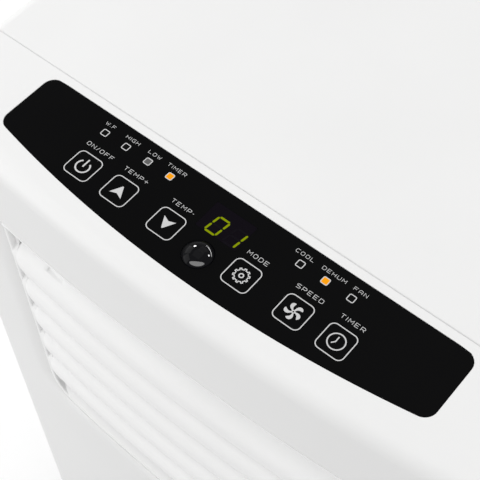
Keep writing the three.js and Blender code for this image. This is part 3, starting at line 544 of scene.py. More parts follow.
def bow_at(x):
    """How far the front face lies behind its middle."""
    return CASE["bow"] - math.sqrt(CASE["bow"] ** 2 - x * x)


def on_front(x, depth, z):
    """A point at a depth behind the bowed front face."""
    return x, CASE_FRONT + bow_at(x) + depth, z


def bowed_bar(bm, section, stations, base):
    """A bar along x that follows the bow, from a section of (depth, height over base)."""
    stack(bm, [[on_front(x, depth, base + z) for depth, z in section] for x in stations])


def rounding():
    """(inset, drop) of the case's top edge."""
    return round_edge(EDGE_ROUND, 8)


def front_runs(plan, inset):
    """Two runs of a bowed outline: the left front corner, and the bow with the right corner."""
    full = bowed_outline(plan, inset, CORNER_POINTS, BOW_STEPS)
    return full[-CORNER_POINTS:], full[: BOW_STEPS + 1 + CORNER_POINTS]


def front_half(inset):
    """The case outline from the seam on the left, round the front, to the seam on the right."""
    left, front = front_runs(CASE, inset)
    side = CASE["side"] - inset
    left_side = [(-side, y) for y in spread(FRONT_COVER_BACK, left[0][1], SIDE_STEPS)[:-1]]
    right_side = [(side, y) for y in spread(front[-1][1], FRONT_COVER_BACK, SIDE_STEPS)[1:]]
    return left_side + left + front + right_side


def pocket_ring():
    """The edge of the overlay's pocket, point for point like the outer ring of the top."""
    left, front = front_runs(OVERLAY, -GAP)
    back = OVERLAY["back"] + GAP
    corner = OVERLAY["back_corner"] + GAP
    side = OVERLAY["side"] + GAP
    half = SIDE_STEPS // 2
    left_side = arc(-side + corner, back - corner, corner, 110, 180, half - 1)
    left_side += between(left_side[-1], left[0], half + 1)
    right_side = between(front[-1], (side, back - corner), half + 1)
    right_side += arc(side - corner, back - corner, corner, 0, 70, half - 1)
    rear = [(x, back) for x in spread(right_side[-1][0], left_side[0][0], SEAM_STEPS + 1)[1:-1]]
    return left_side + left + front + right_side + rear


def top_rings():
    """Rings from the edge of the top, over the crease, to the overlay's pocket and down into it."""
    outer = front_half(EDGE_ROUND)
    outer += [(x, FRONT_COVER_BACK) for x in spread(outer[-1][0], outer[0][0], SEAM_STEPS + 1)[1:-1]]
    inner = pocket_ring()
    rings = []
    for before, after in TOP_SHARES:
        ring = []
        for (xo, yo), (xi, yi) in zip(outer, inner):
            a, b = past_crease(xo, yo), past_crease(xi, yi)
            cross = a / (a - b) if a > 0 > b else 0.5
            t = cross * before + (1 - cross) * after
            x, y = xo + (xi - xo) * t, yo + (yi - yo) * t
            ring.append((x, y, CASE_TOP - fall(x, y)))
        rings.append(ring)
    for depth in (0.15, OVERLAY_THICK + 0.6):
        rings.append([(x, y, CASE_TOP - depth) for x, y in inner])
    return rings


def wall_rings(field_z):
    """Rings from the rounded top edge down the front, level where the outlet's field starts."""
    edge = front_half(EDGE_ROUND)
    levels = [(inset, drop, 1.0) for inset, drop in rounding()]
    for down in (*UPPER_DOWNS, *[CASE_TOP - z for z in field_z], *LOWER_DOWNS):
        levels.append((0, down, max(1 - down / FADE_HEIGHT, 0)))
    rings = []
    for inset, down, fade in levels:
        outline = zip(front_half(inset), edge)
        rings.append([(x, y, CASE_TOP - down - fade * fall(*above)) for (x, y), above in outline])
    return rings


def field_heights():
    """Heights of the field's rows from its top, spread like the outlet outline's own points."""
    half = CORNER_STEPS // 2
    heights = [z for _, z, _, _ in outlet_outline()[half : half + FIELD_ROWS + 1]]
    unit = (FIELD_TOP - FIELD_BOTTOM) / (heights[-1] - heights[0])
    return [FIELD_TOP - unit * (heights[-1] - z) for z in reversed(heights)]


def front_walls(bm):
    """The walls with a hole for the outlet's field; gives the hole's border, anticlockwise."""
    field_z = field_heights()
    walls = wall_rings(field_z)
    first_row = len(rounding()) + len(UPPER_DOWNS)
    first_column = SIDE_STEPS + CORNER_POINTS + (BOW_STEPS - FIELD_COLUMNS) // 2
    rows = range(first_row, first_row + FIELD_ROWS)
    columns = range(first_column, first_column + FIELD_COLUMNS)
    made = [ring_verts(bm, ring) for ring in walls]
    for row, (upper, lower) in enumerate(zip(made, made[1:])):
        for column in range(len(upper) - 1):
            if row not in rows or column not in columns:
                bm.faces.new((upper[column], upper[column + 1], lower[column + 1], lower[column]))
    ends = [point[:2] for point in walls[first_row][columns.start : columns.stop + 1]]
    border = [(*ends[-1], z) for z in field_z[:0:-1]] + [(x, y, FIELD_TOP) for x, y in ends[:0:-1]]
    border += [(*ends[0], z) for z in field_z[:-1]] + [(x, y, FIELD_BOTTOM) for x, y in ends[:-1]]
    shift = CORNER_STEPS // 2
    return border[-shift:] + border[:-shift]


def outlet_outline(side=0.0, top=0.0, sill=0.0):
    """(x, z, share of top, share of sill) round the outlet, grown outwards by the three amounts."""
    x = OUTLET_HALF + side
    z0, z1 = OUTLET_Z[0] - sill, OUTLET_Z[1] + top
    low, high = OUTLET_SILL_CORNER, OUTLET_CORNER
    over_runs, side_runs = FIELD_COLUMNS - CORNER_STEPS, FIELD_ROWS - CORNER_STEPS
    turn = [(math.sin(a), math.cos(a)) for a in quarter(CORNER_STEPS)]
    right = [(x - (low + side) * (1 - s), z0 + low * (1 - c), 0, c) for s, c in turn]
    right += [(x, z, 0, 0) for z in spread(z0 + low, z1 - high, side_runs)[1:-1]]
    right += [(x - high * (1 - c), z1 - high * (1 - s), s, 0) for s, c in turn]
    left = [(-px, pz, t, b) for px, pz, t, b in reversed(right)]
    over = [(px, z1, 1, 0) for px in spread(x - high, high - x, over_runs)[1:-1]]
    under = [(px, z0, 0, 1) for px in spread(-right[0][0], right[0][0], over_runs)[1:-1]]
    return right + over + left + under


def outlet_surround(bm, border):
    """The front round the outlet: a crisp upper lip, wide flared sides and a rounded sill."""
    steps = 8
    rings = []
    for share, a in zip(spread(0, 1, steps), quarter(steps)):
        slope, rounded, grown = (1 - share) ** 2, 1 - math.sin(a), 1 - math.cos(a)
        ring = []
        for x, z, t, b in outlet_outline(SIDE_FLARE[0] * share, TOP_LIP[0] * grown, SILL_FLARE[0] * grown):
            depth = SIDE_FLARE[1] * slope * (1 - t - b) + (TOP_LIP[1] * t + SILL_FLARE[1] * b) * rounded
            ring.append(on_front(x, depth, z))
        rings.append(ring)
    stack(bm, rings + [border], cap_first=False, cap_last=False)


def front_round(x, y, z):
    """The share of the rounding: all of it along the seam, and little round the outlet."""
    return 0.12 if FIELD_BOTTOM < z < FIELD_TOP and y < SEAM_Y - 1 else 1.0


def make_front_cover():
    """The front moulding: flat top with the overlay's pocket, a crease, and the bowed front."""
    bm = bmesh.new()
    stack(bm, top_rings(), cap_first=False, cap_last=False)
    outlet_surround(bm, front_walls(bm))
    bmesh.ops.delete(bm, geom=[v for v in bm.verts if not v.link_faces], context="VERTS")
    cover = new_object("front_cover_moulding", bm)
    thicken(cover)
    soften(cover, SEAM_ROUND, degrees=60, share=front_round)
    shade(cover, 38)
    place(cover, "case", "white_case", WHITE, "front_cover")


def thicken(obj):
    solid = obj.modifiers.new("wall", "SOLIDIFY")
    solid.thickness = WALL * MM
    solid.offset = -1
    solid.use_even_offset = True
    apply_modifiers(obj)


def case_skin(bm, top=True):
    """The outside of the case behind the seam, open at the bottom."""
    levels = [(inset, CASE_TOP - drop) for inset, drop in rounding()] + [(0, CASE_BOTTOM)]
    rings = []
    for inset, z in levels:
        outline = bowed_outline(CASE, inset, corner_steps=12, bow_steps=40, side_steps=10)
        rings.append([(x, y, z) for x, y in outline])
    stack(bm, rings, cap_first=top, cap_last=False)
    keep_side(bm, (0, SEAM_Y + GAP / 2, 0), (0, 1, 0))


def keep_side(bm, point, normal):
    """Keeps what lies on the normal's side of a plane."""
    geometry = bm.verts[:] + bm.edges[:] + bm.faces[:]
    bmesh.ops.bisect_plane(bm, geom=geometry, plane_co=point, plane_no=normal, clear_inner=True, dist=1e-5)


def make_top_cover():
    bm = bmesh.new()
    case_skin(bm)
    keep_side(bm, (0, 0, TOP_COVER_SKIRT), (0, 0, 1))
    cover = new_object("top_cover_moulding", bm)
    thicken(cover)
    soften(cover, SEAM_ROUND)
    place(cover, "case", "white_case", WHITE, "top_cover")


def make_side_panel(side):
    """A side panel with the mouth of its handle; the right one has a slot for each filter."""
    name = f"{HANDS[side]}_side_panel"
    bm = bmesh.new()
    case_skin(bm, top=False)
    keep_side(bm, (0, 0, TOP_COVER_SKIRT - GAP), (0, 0, -1))
    keep_side(bm, (side * (REAR_PANEL_HALF + GAP / 2), 0, 0), (side, 0, 0))
    panel = new_object(f"{name}_moulding", bm)
    thicken(panel)
    x0, x1 = sorted((side * (HALF_WIDTH - 10), side * (HALF_WIDTH + 10)))
    cup = edges_of(f"{HANDS[side]}_handle_cup")[2:]
    cutters = [prism_cutter(rounded_rectangle(*cup, HANDLE_CORNER, -GAP), "x", x0, x1)]
    if side > 0:
        for node in FILTERS:
            _, _, y0, y1, z0, z1 = edges_of(node)
            cutters.append(box_cutter(x0, x1, y0 - GAP, y1 + GAP, z0 - GAP, z1 + GAP))
    carve(panel, cutters)
    soften(panel, 0.4)
    place(panel, "case", "white_case", WHITE, name)


def make_handle_cup(side):
    """A moulded finger recess with round corners."""
    name = f"{HANDS[side]}_handle_cup"
    x0, x1, *sides = edges_of(name)
    mouth, bottom = (x1, x0) if side > 0 else (x0, x1)
    thick = 2.0
    # Insets and distances: up the inside from the floor, round the lip, and down the outside.
    floor = ((8 + thick, thick), (2.5 + thick, 2 + thick), (thick, 9))
    lip = ((thick, 1.2), (thick - 0.5, 0.3), (0.5, 0), (0, 0.5))
    underside = ((0, 8), (2.5, 2), (8, 0))
    levels = [(inset, bottom + side * height) for inset, height in floor]
    levels += [(inset, mouth - side * depth) for inset, depth in lip]
    levels += [(inset, bottom + side * height) for inset, height in underside]
    bm = bmesh.new()
    outline = lambda inset: rounded_rectangle(*sides, max(HANDLE_CORNER - inset, 2), inset, steps=8)
    plate(bm, outline, "x", levels)
    piece(f"{name}_moulding", bm, 50, "case", "white_case", WHITE, name)


GRILLES = {"upper_intake_grille": 24, "lower_intake_grille": 13}  # and the rows between their blades
FILTERS = ("upper_filter", "lower_filter")
DRAIN_PLUGS = ("upper_drain_plug", "lower_drain_plug")
COLLAR_RADIUS = 75.0
ROUND_HOLES = {"exhaust_collar": COLLAR_RADIUS, "cord_gland": 8.0, **dict.fromkeys(DRAIN_PLUGS, 9.0)}


def back_middle(node):
    """(x, z) of the middle of a node in the back."""
    x, _, z = middle_of(node)
    return x, z


def make_rear_panel():
    """The rear panel, with an opening for each grille and a round hole for each fitting."""
    x0, x1, y0, y1, z0, z1 = edges_of("rear_panel")
    bm = bmesh.new()
    block(bm, x0, x1, y0, y1, z0, z1)
    panel = new_object("rear_panel_moulding", bm)
    cutters = []
    for node in GRILLES:
        left, right, _, _, low, high = edges_of(node)
        cutters.append(prism_cutter(rounded_rectangle(left, right, low, high, 5, -GAP), "y", y0 - 5, y1 + 5))
    for node, radius in ROUND_HOLES.items():
        cutters.append(round_cutter(radius + GAP, "y", back_middle(node), y0 - 5, y1 + 5, 64))
    carve(panel, cutters)
    soften(panel, 0.4)
    place(panel, "case", "white_case", WHITE, "rear_panel")


def make_grille(node, rows):
    """A clip-in intake grille: a frame, level blades with sloping faces, and upright ribs."""
    x0, x1, y0, y1, z0, z1 = edges_of(node)
    border = 9.0
    levels = [(0, 5, y0), (0, 5, y1 - 0.6), (0.6, 4.4, y1)]
    levels += [(border - 0.5, 2.5, y1), (border, 2, y1 - 0.5), (border, 2, y0)]
    bm = bmesh.new()
    rings = []
    for inset, radius, y in levels:
        rings.append([(a, y, b) for a, b in rounded_rectangle(x0, x1, z0, z1, radius, inset)])
    hoop(bm, rings)
    tuck = border - 0.5
    for z in spread(z0 + border, z1 - border, rows)[1:-1]:
        blade = [(y0 + 0.2, z - 1.9), (y0 + 0.2, z - 0.9), (y1 - 0.9, z + 1.5)]
        blade += [(y1 - 0.4, z + 1.3), (y1 - 0.3, z + 0.6), (y1 - 0.6, z - 0.1)]
        prism(bm, blade, "x", x0 + tuck, x1 - tuck)
    for x in spread(x0 + border, x1 - border, 6)[1:-1]:
        block(bm, x - 1.2, x + 1.2, y0 + 0.1, y1 - 1.6, z0 + tuck, z1 - tuck)
    piece(f"{node}_blades", bm, 35, "case", "white_case", WHITE, node)


def make_filter(node):
    """A pull-out filter: frame with ribs, fine mesh, and an end plate with a finger grip."""
    x0, x1, y0, y1, z0, z1 = edges_of(node)
    _, y, z = middle_of(node)
    border, columns = 9.0, 6
    plate_x = x1 - 7.5
    end = plate_x + 1
    front, back = y - 2.5, y + 2.5
    low, high = z0 + 4, z1 - 4
    inner = (low + border, high - border)
    bm = bmesh.new()
    block(bm, x0, end, front, back, low, low + border)
    block(bm, x0, end, front, back, high - border, high)
    block(bm, x0, x0 + border, front, back, *inner)
    for x in spread(x0, end - border, columns)[1:]:
        wide = 2.5 if x < end - border - 1 else border
        block(bm, x, x + wide, front, back - 0.4, *inner)
    block(bm, x0 + border, end - border, front + 0.2, back - 0.6, z - 1.5, z + 1.5)
    piece(f"{node}_frame", bm, 30, node, "filter_mesh", GREY, node)

    bm = bmesh.new()
    block(bm, x0 + border - 1, end - 2, y - 1.9, y - 1.3, inner[0] - 1, inner[1] + 1)
    piece(f"{node}_net", bm, 30, node, "filter_mesh", MESH)

    bm = bmesh.new()
    outline = lambda inset: rounded_rectangle(y0, y1, z0, z1, 1.5, inset, 4)
    plate(bm, outline, "x", [(0, plate_x), (0, x1 - 0.6), (0.2, x1 - 0.2), (0.6, x1)])
    end_plate = new_object(f"{node}_end_plate", bm, 35)
    grip = lambda inset: rounded_rectangle(y - 3.5, y + 3.5, z - 22, z + 22, 3 - inset, inset, 5)
    carve(end_plate, [lambda bm: plate(bm, grip, "x", [(0.8, x1 - 5), (0, x1 - 4), (0, x1 + 5)])])
    soften(end_plate, 0.25)
    place(end_plate, node, "white_case", WHITE)


# ---- control panel

KEY_SIZE, KEY_CORNER = 19.0, 3.6
KEY_LABEL_Y = KEY_Y + 14.6
LAMP_LABEL_Y = LAMP_Y + 6.3
LAMP_OPENING = 2.2
_, DOME_Y, _ = middle_of("remote_receiver_dome")
DOME_RADIUS, DOME_TOP = edges_of("remote_receiver_dome")[1], edges_of("remote_receiver_dome")[5]
PRINT_BASE, PRINT_TOP = CASE_TOP - 0.02, CASE_TOP + 0.06

# Each lamp: its x, its label, how far that is off its middle, and the window's material.
LAMPS = (
    (-99.8, "W.F", -1.2, DARK_LAMP),
    (-82.8, "HIGH", 0.0, DARK_LAMP),
    (-65.3, "LOW", 0.0, GREY_LAMP),
    (-48.0, "TIMER", 0.0, ORANGE_LIGHT),
    (48.0, "COOL", -1.4, DARK_LAMP),
    (65.3, "DEHUM", 1.4, ORANGE_LIGHT),
    (82.9, "FAN", 1.7, DARK_LAMP),
)


def square(x, y, half, radius):
    return rounded_rectangle(x - half, x + half, y - half, y + half, radius)


def key_outline(x, grow):
    return square(x, KEY_Y, KEY_SIZE / 2 + grow, KEY_CORNER + grow)


def make_overlay():
    """The black film over its carrier, with openings for keys, lamps, display and dome."""
    bm = bmesh.new()
    outline = lambda inset: bowed_outline(OVERLAY, inset, corner_steps=10, bow_steps=64)
    plate(bm, outline, "z", eased(CASE_TOP - OVERLAY_THICK, CASE_TOP, 0.2))
    overlay = new_object("control_overlay_film", bm)
    below, above = CASE_TOP - 5, CASE_TOP + 5
    cutters = [prism_cutter(key_outline(x, 0.12), "z", below, above) for x in KEY_X.values()]
    for x, *_ in LAMPS:
        sides = (x - LAMP_OPENING, x + LAMP_OPENING, LAMP_Y - LAMP_OPENING, LAMP_Y + LAMP_OPENING)
        cutters.append(box_cutter(*sides, below, above))
    x0, x1, y0, y1, _, _ = edges_of("display_window")
    cutters.append(box_cutter(x0 - 0.05, x1 + 0.05, y0 - 0.05, y1 + 0.05, below, above))
    cutters.append(round_cutter(DOME_RADIUS + 0.15, "z", (0, DOME_Y), below, above, 64))
    carve(overlay, cutters)
    shade(overlay, 30)
    place(overlay, "case", "black_panel", BLACK_FILM, "control_overlay")


def make_key_cap(name):
    """A key's flat cap, with the flange and the stem below it."""
    x = KEY_X[name]
    flange = CASE_TOP - OVERLAY_THICK - GAP
    bm = bmesh.new()
    plate(bm, lambda inset: key_outline(x, -inset), "z", eased(flange - 0.2, CASE_TOP, 0.15))
    prism(bm, key_outline(x, 1), "z", flange - 1.5, flange)
    lathe(bm, [(3, edges_of(name)[4]), (3, flange - 1.4)], "z", (x, KEY_Y), 24)
    piece(f"{name}_cap", bm, 30, name, "black_panel", BLACK_FILM, name)


def printed(name, at, fill, body="case", material=WHITE_PRINT, slot="black_panel"):
    """A thin printed mark: fill draws flat outlines round the origin, and they are moved to at."""
    bm = bmesh.new()
    fill(bm)
    bmesh.ops.translate(bm, vec=(*at, 0), verts=bm.verts)
    piece(name, bm, 30, body, slot, material)


def add_outline(bm, points, lift=0.0):
    """A solid mark inside one outline."""
    prism(bm, points, "z", PRINT_BASE + lift, PRINT_TOP + lift)


def add_band(bm, outer, inner, lift=0.0):
    """A solid band between two closed outlines with the same number of points."""
    levels = ((outer, PRINT_BASE), (outer, PRINT_TOP), (inner, PRINT_TOP), (inner, PRINT_BASE))
    hoop(bm, [[(x, y, z + lift) for x, y in points] for points, z in levels])


def add_circle(bm, outer, inner, steps, lift=0.0):
    add_band(bm, circle(0, 0, outer, steps), circle(0, 0, inner, steps), lift)


def add_square(bm, half, width, radius):
    """A band of the width given along the outline of a rounded square."""
    outer, inner = (square(0, 0, half + w, radius + w) for w in (width / 2, -width / 2))
    add_band(bm, outer, inner)


def add_stroke(bm, points, width):
    """A line of constant width along a path, with mitred corners."""
    steps = [(Vector(b) - Vector(a)).normalized() for a, b in zip(points, points[1:])]
    left, right = [], []
    for (x, y), before, after in zip(points, steps[:1] + steps, steps + steps[-1:]):
        mean = (before + after).normalized()
        normal = Vector((-mean.y, mean.x))
        stretch = min(1 / max(normal.dot(Vector((-before.y, before.x))), 0.3), 2.0)
        offset = normal * (width / 2 * stretch)
        left.append((x + offset.x, y + offset.y))
        right.append((x - offset.x, y - offset.y))
    add_outline(bm, left + right[::-1])


def power_mark(bm):
    radius, half, opening, low = 4.4, 0.5, 38, -0.4
    outer = arc(0, low, radius + half, 90 + opening, 450 - opening, 36)
    inner = arc(0, low, radius - half, 450 - opening, 90 + opening, 36)
    add_outline(bm, outer + inner)
    add_outline(bm, [(-half, -0.6), (half, -0.6), (half, 5.5), (-half, 5.5)])


def arrow_mark(bm, way=1):
    half, tall, notch, tip = 4.4, 3.75, 1.7, 0.35
    points = [(-half, -tall), (0, -tall + notch), (half, -tall), (tip, tall), (-tip, tall)]
    add_outline(bm, [(x, way * y) for x, y in points])


def gear_mark(bm):
    teeth, steps = 10, 16
    tip, root, width = 5.15, 4.2, 0.6
    outer, inner = [], []
    for i in range(teeth * steps):
        angle = 360 * i / (teeth * steps) + 15
        # The line keeps its width on the flanks, so the tooth is narrower on the inside.
        outer.append(polar((0, 0), tip if i % steps < 9 else root, angle))
        inner.append(polar((0, 0), (tip if 3 <= i % steps < 6 else root) - width, angle))
    add_band(bm, outer, inner)
    add_circle(bm, 1.65, 0.9, 32)


def fan_mark(bm):
    # One blade, from the hub out along its back and home along its hollow side: angle and radius.
    blade = (
        (36, 0.95), (33, 1.85), (30, 2.9), (23, 3.95), (14, 4.8), (5, 5.3), (-6, 5.5),
        (-18, 5.3), (-23, 5.0), (-20, 4.5), (-14, 3.8), (-7, 3.2), (-2, 2.5), (0, 1.2),
    )
    for i in range(5):
        add_outline(bm, [polar((0, 0), radius, 72 * i + 130 + angle) for angle, radius in reversed(blade)])
    add_circle(bm, 1.15, 0.5, 24, 0.01)


def clock_mark(bm):
    add_circle(bm, 5.4, 4.65, 48)
    add_stroke(bm, [(-0.4, 3.2), (-0.4, -0.3), (-2.0, -2.2)], 0.7)


KEY_PRINTS = {
    "power_key": ("ON/OFF", power_mark),
    "temperature_up_key": ("TEMP+", arrow_mark),
    "temperature_down_key": ("TEMP-", lambda bm: arrow_mark(bm, -1)),
    "mode_key": ("MODE", gear_mark),
    "speed_key": ("SPEED", fan_mark),
    "timer_key": ("TIMER", clock_mark),
}

# The panel's own plain capitals: each letter is strokes on a grid 4 wide and 5 high.
LETTERS = {
    "A": ["0,0 0,4 1,5 3,5 4,4 4,0", "0,2 4,2"],
    "C": ["4,5 1,5 0,4 0,1 1,0 4,0"],
    "D": ["0,0 0,5 3,5 4,4 4,1 3,0 0,0"],
    "E": ["4,5 0,5 0,0 4,0", "0,2.5 3.4,2.5"],
    "F": ["0,0 0,5 4,5", "0,2.5 3.4,2.5"],
    "G": ["4,5 1,5 0,4 0,1 1,0 4,0 4,2.5 2.2,2.5"],
    "H": ["0,0 0,5", "4,0 4,5", "0,2.5 4,2.5"],
    "I": ["0,0 0,5"],
    "L": ["0,5 0,0 4,0"],
    "M": ["0,0 0,5 2.25,2 4.5,5 4.5,0"],
    "N": ["0,0 0,5 4,0 4,5"],
    "O": ["1,0 0,1 0,4 1,5 3,5 4,4 4,1 3,0 1,0"],
    "P": ["0,0 0,5 3,5 4,4 4,3 3,2 0,2"],
    "R": ["0,0 0,5 3,5 4,4 4,3 3,2 0,2", "2,2 4,0"],
    "S": ["4,5 1,5 0,4 0,3.2 1,2.5 3,2.5 4,1.8 4,1 3,0 0,0"],
    "T": ["0,5 4,5", "2,5 2,0"],
    "U": ["0,5 0,1 1,0 3,0 4,1 4,5"],
    "W": ["0,5 1.2,0 2.4,3.6 3.6,0 4.8,5"],
    "/": ["0,0 2,5"],
    "+": ["0,2.5 4,2.5", "2,0.3 2,4.7"],
    "-": ["0,2.5 1.4,2.5"],
    ".": ["0,0 0,0.7"],
}
LETTER_SPREAD, LETTER_GAP, LETTER_WEIGHT = 1.2, 2.4, 0.12


def strokes_of(letter):
    """The letter's strokes as lists of grid points."""
    return [[[float(v) for v in pair.split(",")] for pair in line.split()] for line in LETTERS[letter]]


def word(bm, text, height):
    """Draws a word with its middle on the origin."""
    unit = height / 5
    letters = [strokes_of(letter) for letter in text]
    widths = [max(x for stroke in letter for x, _ in stroke) for letter in letters]
    pen = -(sum(widths) + LETTER_GAP * (len(text) - 1)) / 2
    for letter, wide in zip(letters, widths):
        for stroke in letter:
            points = [((x + pen) * unit * LETTER_SPREAD, (y - 2.5) * unit) for x, y in stroke]
            add_stroke(bm, points, height * LETTER_WEIGHT)
        pen += wide + LETTER_GAP


def make_prints():
    for name, (text, mark) in KEY_PRINTS.items():
        at = (KEY_X[name], KEY_Y)
        printed(f"{name}_border", at, lambda bm: add_square(bm, 8.95, 0.62, 3.4), name)
        printed(f"{name}_mark", at, mark, name)
        printed(f"{name}_label", (at[0], KEY_LABEL_Y), lambda bm: word(bm, text, 2.5))
    for index, (x, text, shift, material) in enumerate(LAMPS, 1):
        at = (x, LAMP_Y)
        printed(f"lamp_{index}_label", (x + shift, LAMP_LABEL_Y), lambda bm: word(bm, text, 2.2))
        printed(f"lamp_{index}_border", at, lambda bm: add_square(bm, 2.15, 0.55, 0.8))
        window = lambda bm: add_outline(bm, square(0, 0, 1.95, 0.6), -0.03)
        printed(f"lamp_{index}_window", at, window, "case", material, "clear_guide")


# A digit's segments: column and row of both ends.
SEGMENTS = {
    "a": (0, 2, 1, 2), "b": (1, 1, 1, 2), "c": (1, 0, 1, 1), "d": (0, 0, 1, 0),
    "e": (0, 0, 0, 1), "f": (0, 1, 0, 2), "g": (0, 1, 1, 1),
}
DIGITS = ((-3.9, "abcdef"), (9.2, "bc"))  # x of each digit and its lit segments
DIGIT_Y = KEY_Y + 16.8
DIGIT_WIDE, DIGIT_TALL = 7.6, 11.8
DIGIT_SLANT = math.tan(math.radians(8))


def add_segment(bm, segment):
    """One bar of a seven-segment digit, pointed at both ends and slanted with the digit."""
    column_0, row_0, column_1, row_1 = SEGMENTS[segment]
    thick, gap = 1.3, 0.25
    start = Vector(((column_0 - 0.5) * DIGIT_WIDE, (row_0 - 1) * DIGIT_TALL / 2))
    end = Vector(((column_1 - 0.5) * DIGIT_WIDE, (row_1 - 1) * DIGIT_TALL / 2))
    along = (end - start).normalized()
    across = Vector((-along.y, along.x)) * thick / 2
    tip = along * thick / 2
    start += along * gap
    end -= along * gap
    corners = [start, start + tip + across, end - tip + across, end, end - tip - across, start + tip - across]
    add_outline(bm, [(p.x + DIGIT_SLANT * p.y, p.y) for p in corners])


def make_display():
    x0, x1, y0, y1, z0, _ = edges_of("display_window")
    bm = bmesh.new()
    outline = lambda inset: rounded_rectangle(x0, x1, y0, y1, 0.6, inset, 4)
    plate(bm, outline, "z", eased(z0, CASE_TOP, 0.1))
    piece("display_window_lens", bm, 30, "case", "smoked_window", WINDOW_FILM, "display_window")
    for number, (x, lit) in enumerate(DIGITS, 1):
        for segment in SEGMENTS:
            material = DIGIT_LIGHT if segment in lit else DARK_SEGMENT
            fill = lambda bm: add_segment(bm, segment)
            printed(f"digit_{number}_segment_{segment}", (x, DIGIT_Y), fill, "case", material, "smoked_window")


def make_dome():
    """The dark spherical cap over the remote control's receiver."""
    low = edges_of("remote_receiver_dome")[4]
    rise = DOME_TOP - CASE_TOP
    radius = (DOME_RADIUS**2 + rise**2) / (2 * rise)
    profile = [(DOME_RADIUS - 0.3, low), (DOME_RADIUS, low + 0.3)]
    for a in spread(math.asin(DOME_RADIUS / radius), 0, 16):
        profile.append((radius * math.sin(a), DOME_TOP - radius * (1 - math.cos(a))))
    bm = bmesh.new()
    lathe(bm, profile, "z", (0, DOME_Y), 64)
    return piece("receiver_dome_lens", bm, 50, "case", "smoked_window", DOME_PLASTIC, "remote_receiver_dome")


# ---- air outlet

SLATS = [joint for joint in frame["joints"] if joint["child"].startswith("louvre_slat")]
SLAT_HALF = 143.2
SLAT_THICK = 2.5
SLAT_LOW = 10.0  # from the pivot down to a slat's lower edge
SLAT_END_CORNERS = (6.0, 1.5)  # lower and upper
PIVOT_PIN = 2.5
CRANK_X, CRANK_Y, CRANK_Z = -119.5, 24.0, 10.0
# Two cuts in a slat's upper edge: x from and to, and the height over its lower edge.
NOTCH = (-114.5, -100.5, 34.0)
LINK_BAR_ROOM = (-125.5, -117.5, 37.0)
# A slat's outside face: depth behind the case front and height over its lower edge.
SLAT_FACE = (
    (4.5, 0), (3.0, 6), (1.8, 12), (0.9, 17), (0.5, 22), (0.9, 26),
    (2.2, 29.5), (4.6, 32.6), (8, 35.5), (11, 37.4), (14, 39),
)
SLAT_TAB = ((14.2, 37.4), (12.4, 39.2), (17.6, 44.8), (19.4, 43.0))
SILL_SECTION = ((3.6, 1), (3.6, 3.2), (4.4, 4.2), (11, 11.6), (16, 14), (45, 15), (50, 14), (50, 1))
HOOD_SECTION = ((3.4, -1), (3.4, -4.2), (4.4, -6), (18, -22), (20, -23), (23, -21), (31, -1))


def smooth_path(points, steps=4):
    """Points along a Catmull-Rom curve through the given ones."""
    path = []
    padded = [Vector(p) for p in (points[0], *points, points[-1])]
    for a, b, c, d in zip(padded, padded[1:], padded[2:], padded[3:]):
        for t in spread(0, 1, steps)[:-1]:
            bend = (2 * a - 5 * b + 4 * c - d) * t**2 + (3 * b - a - 3 * c + d) * t**3
            path.append(tuple(b + ((c - a) * t + bend) / 2))
    return path + [points[-1]]


def slat_section(trim_low, trim_high, thin):
    """(depth, height) points round a slat's section, trimmed at its edges and thinned."""
    path = smooth_path(SLAT_FACE)
    outside = []
    for z in spread(trim_low, SLAT_FACE[-1][1] - trim_high, 22):
        k = next((k for k in range(1, len(path)) if path[k][1] >= z), len(path) - 1)
        (d0, z0), (d1, z1) = path[k - 1], path[k]
        outside.append(Vector((d0 + (d1 - d0) * (z - z0) / (z1 - z0), z)))
    middle = []
    for here, before, after in zip(outside, outside[:1] + outside, outside[1:] + outside[-1:]):
        along = (after - before).normalized()
        across = Vector((along.y, -along.x))
        middle.append((here + across * SLAT_THICK / 2, along, across))
    edge = SLAT_THICK * thin / 2
    ring = [p - across * edge for p, _, across in middle]
    ring += slat_edge(*middle[-1], -edge)
    ring += [p + across * edge for p, _, across in reversed(middle)]
    ring += slat_edge(*middle[0], edge)
    return ring


def slat_edge(p, along, across, edge):
    """The half round of a slat's edge, from one face to the other."""
    turn = [math.radians(30 * i) for i in range(1, 6)]
    return [p + (across * math.cos(a) - along * math.sin(a)) * edge for a in turn]


def pivot_of(joint):
    """(y, z) of a slat's hinge."""
    return [v / MM for v in joint["pos_m"][1:]]


def curl(inside, reach):
    """From 0 at a slat's very end to 1 at the reach, along a quarter circle."""
    return math.sqrt(1 - max(1 - inside / reach, 0) ** 2)


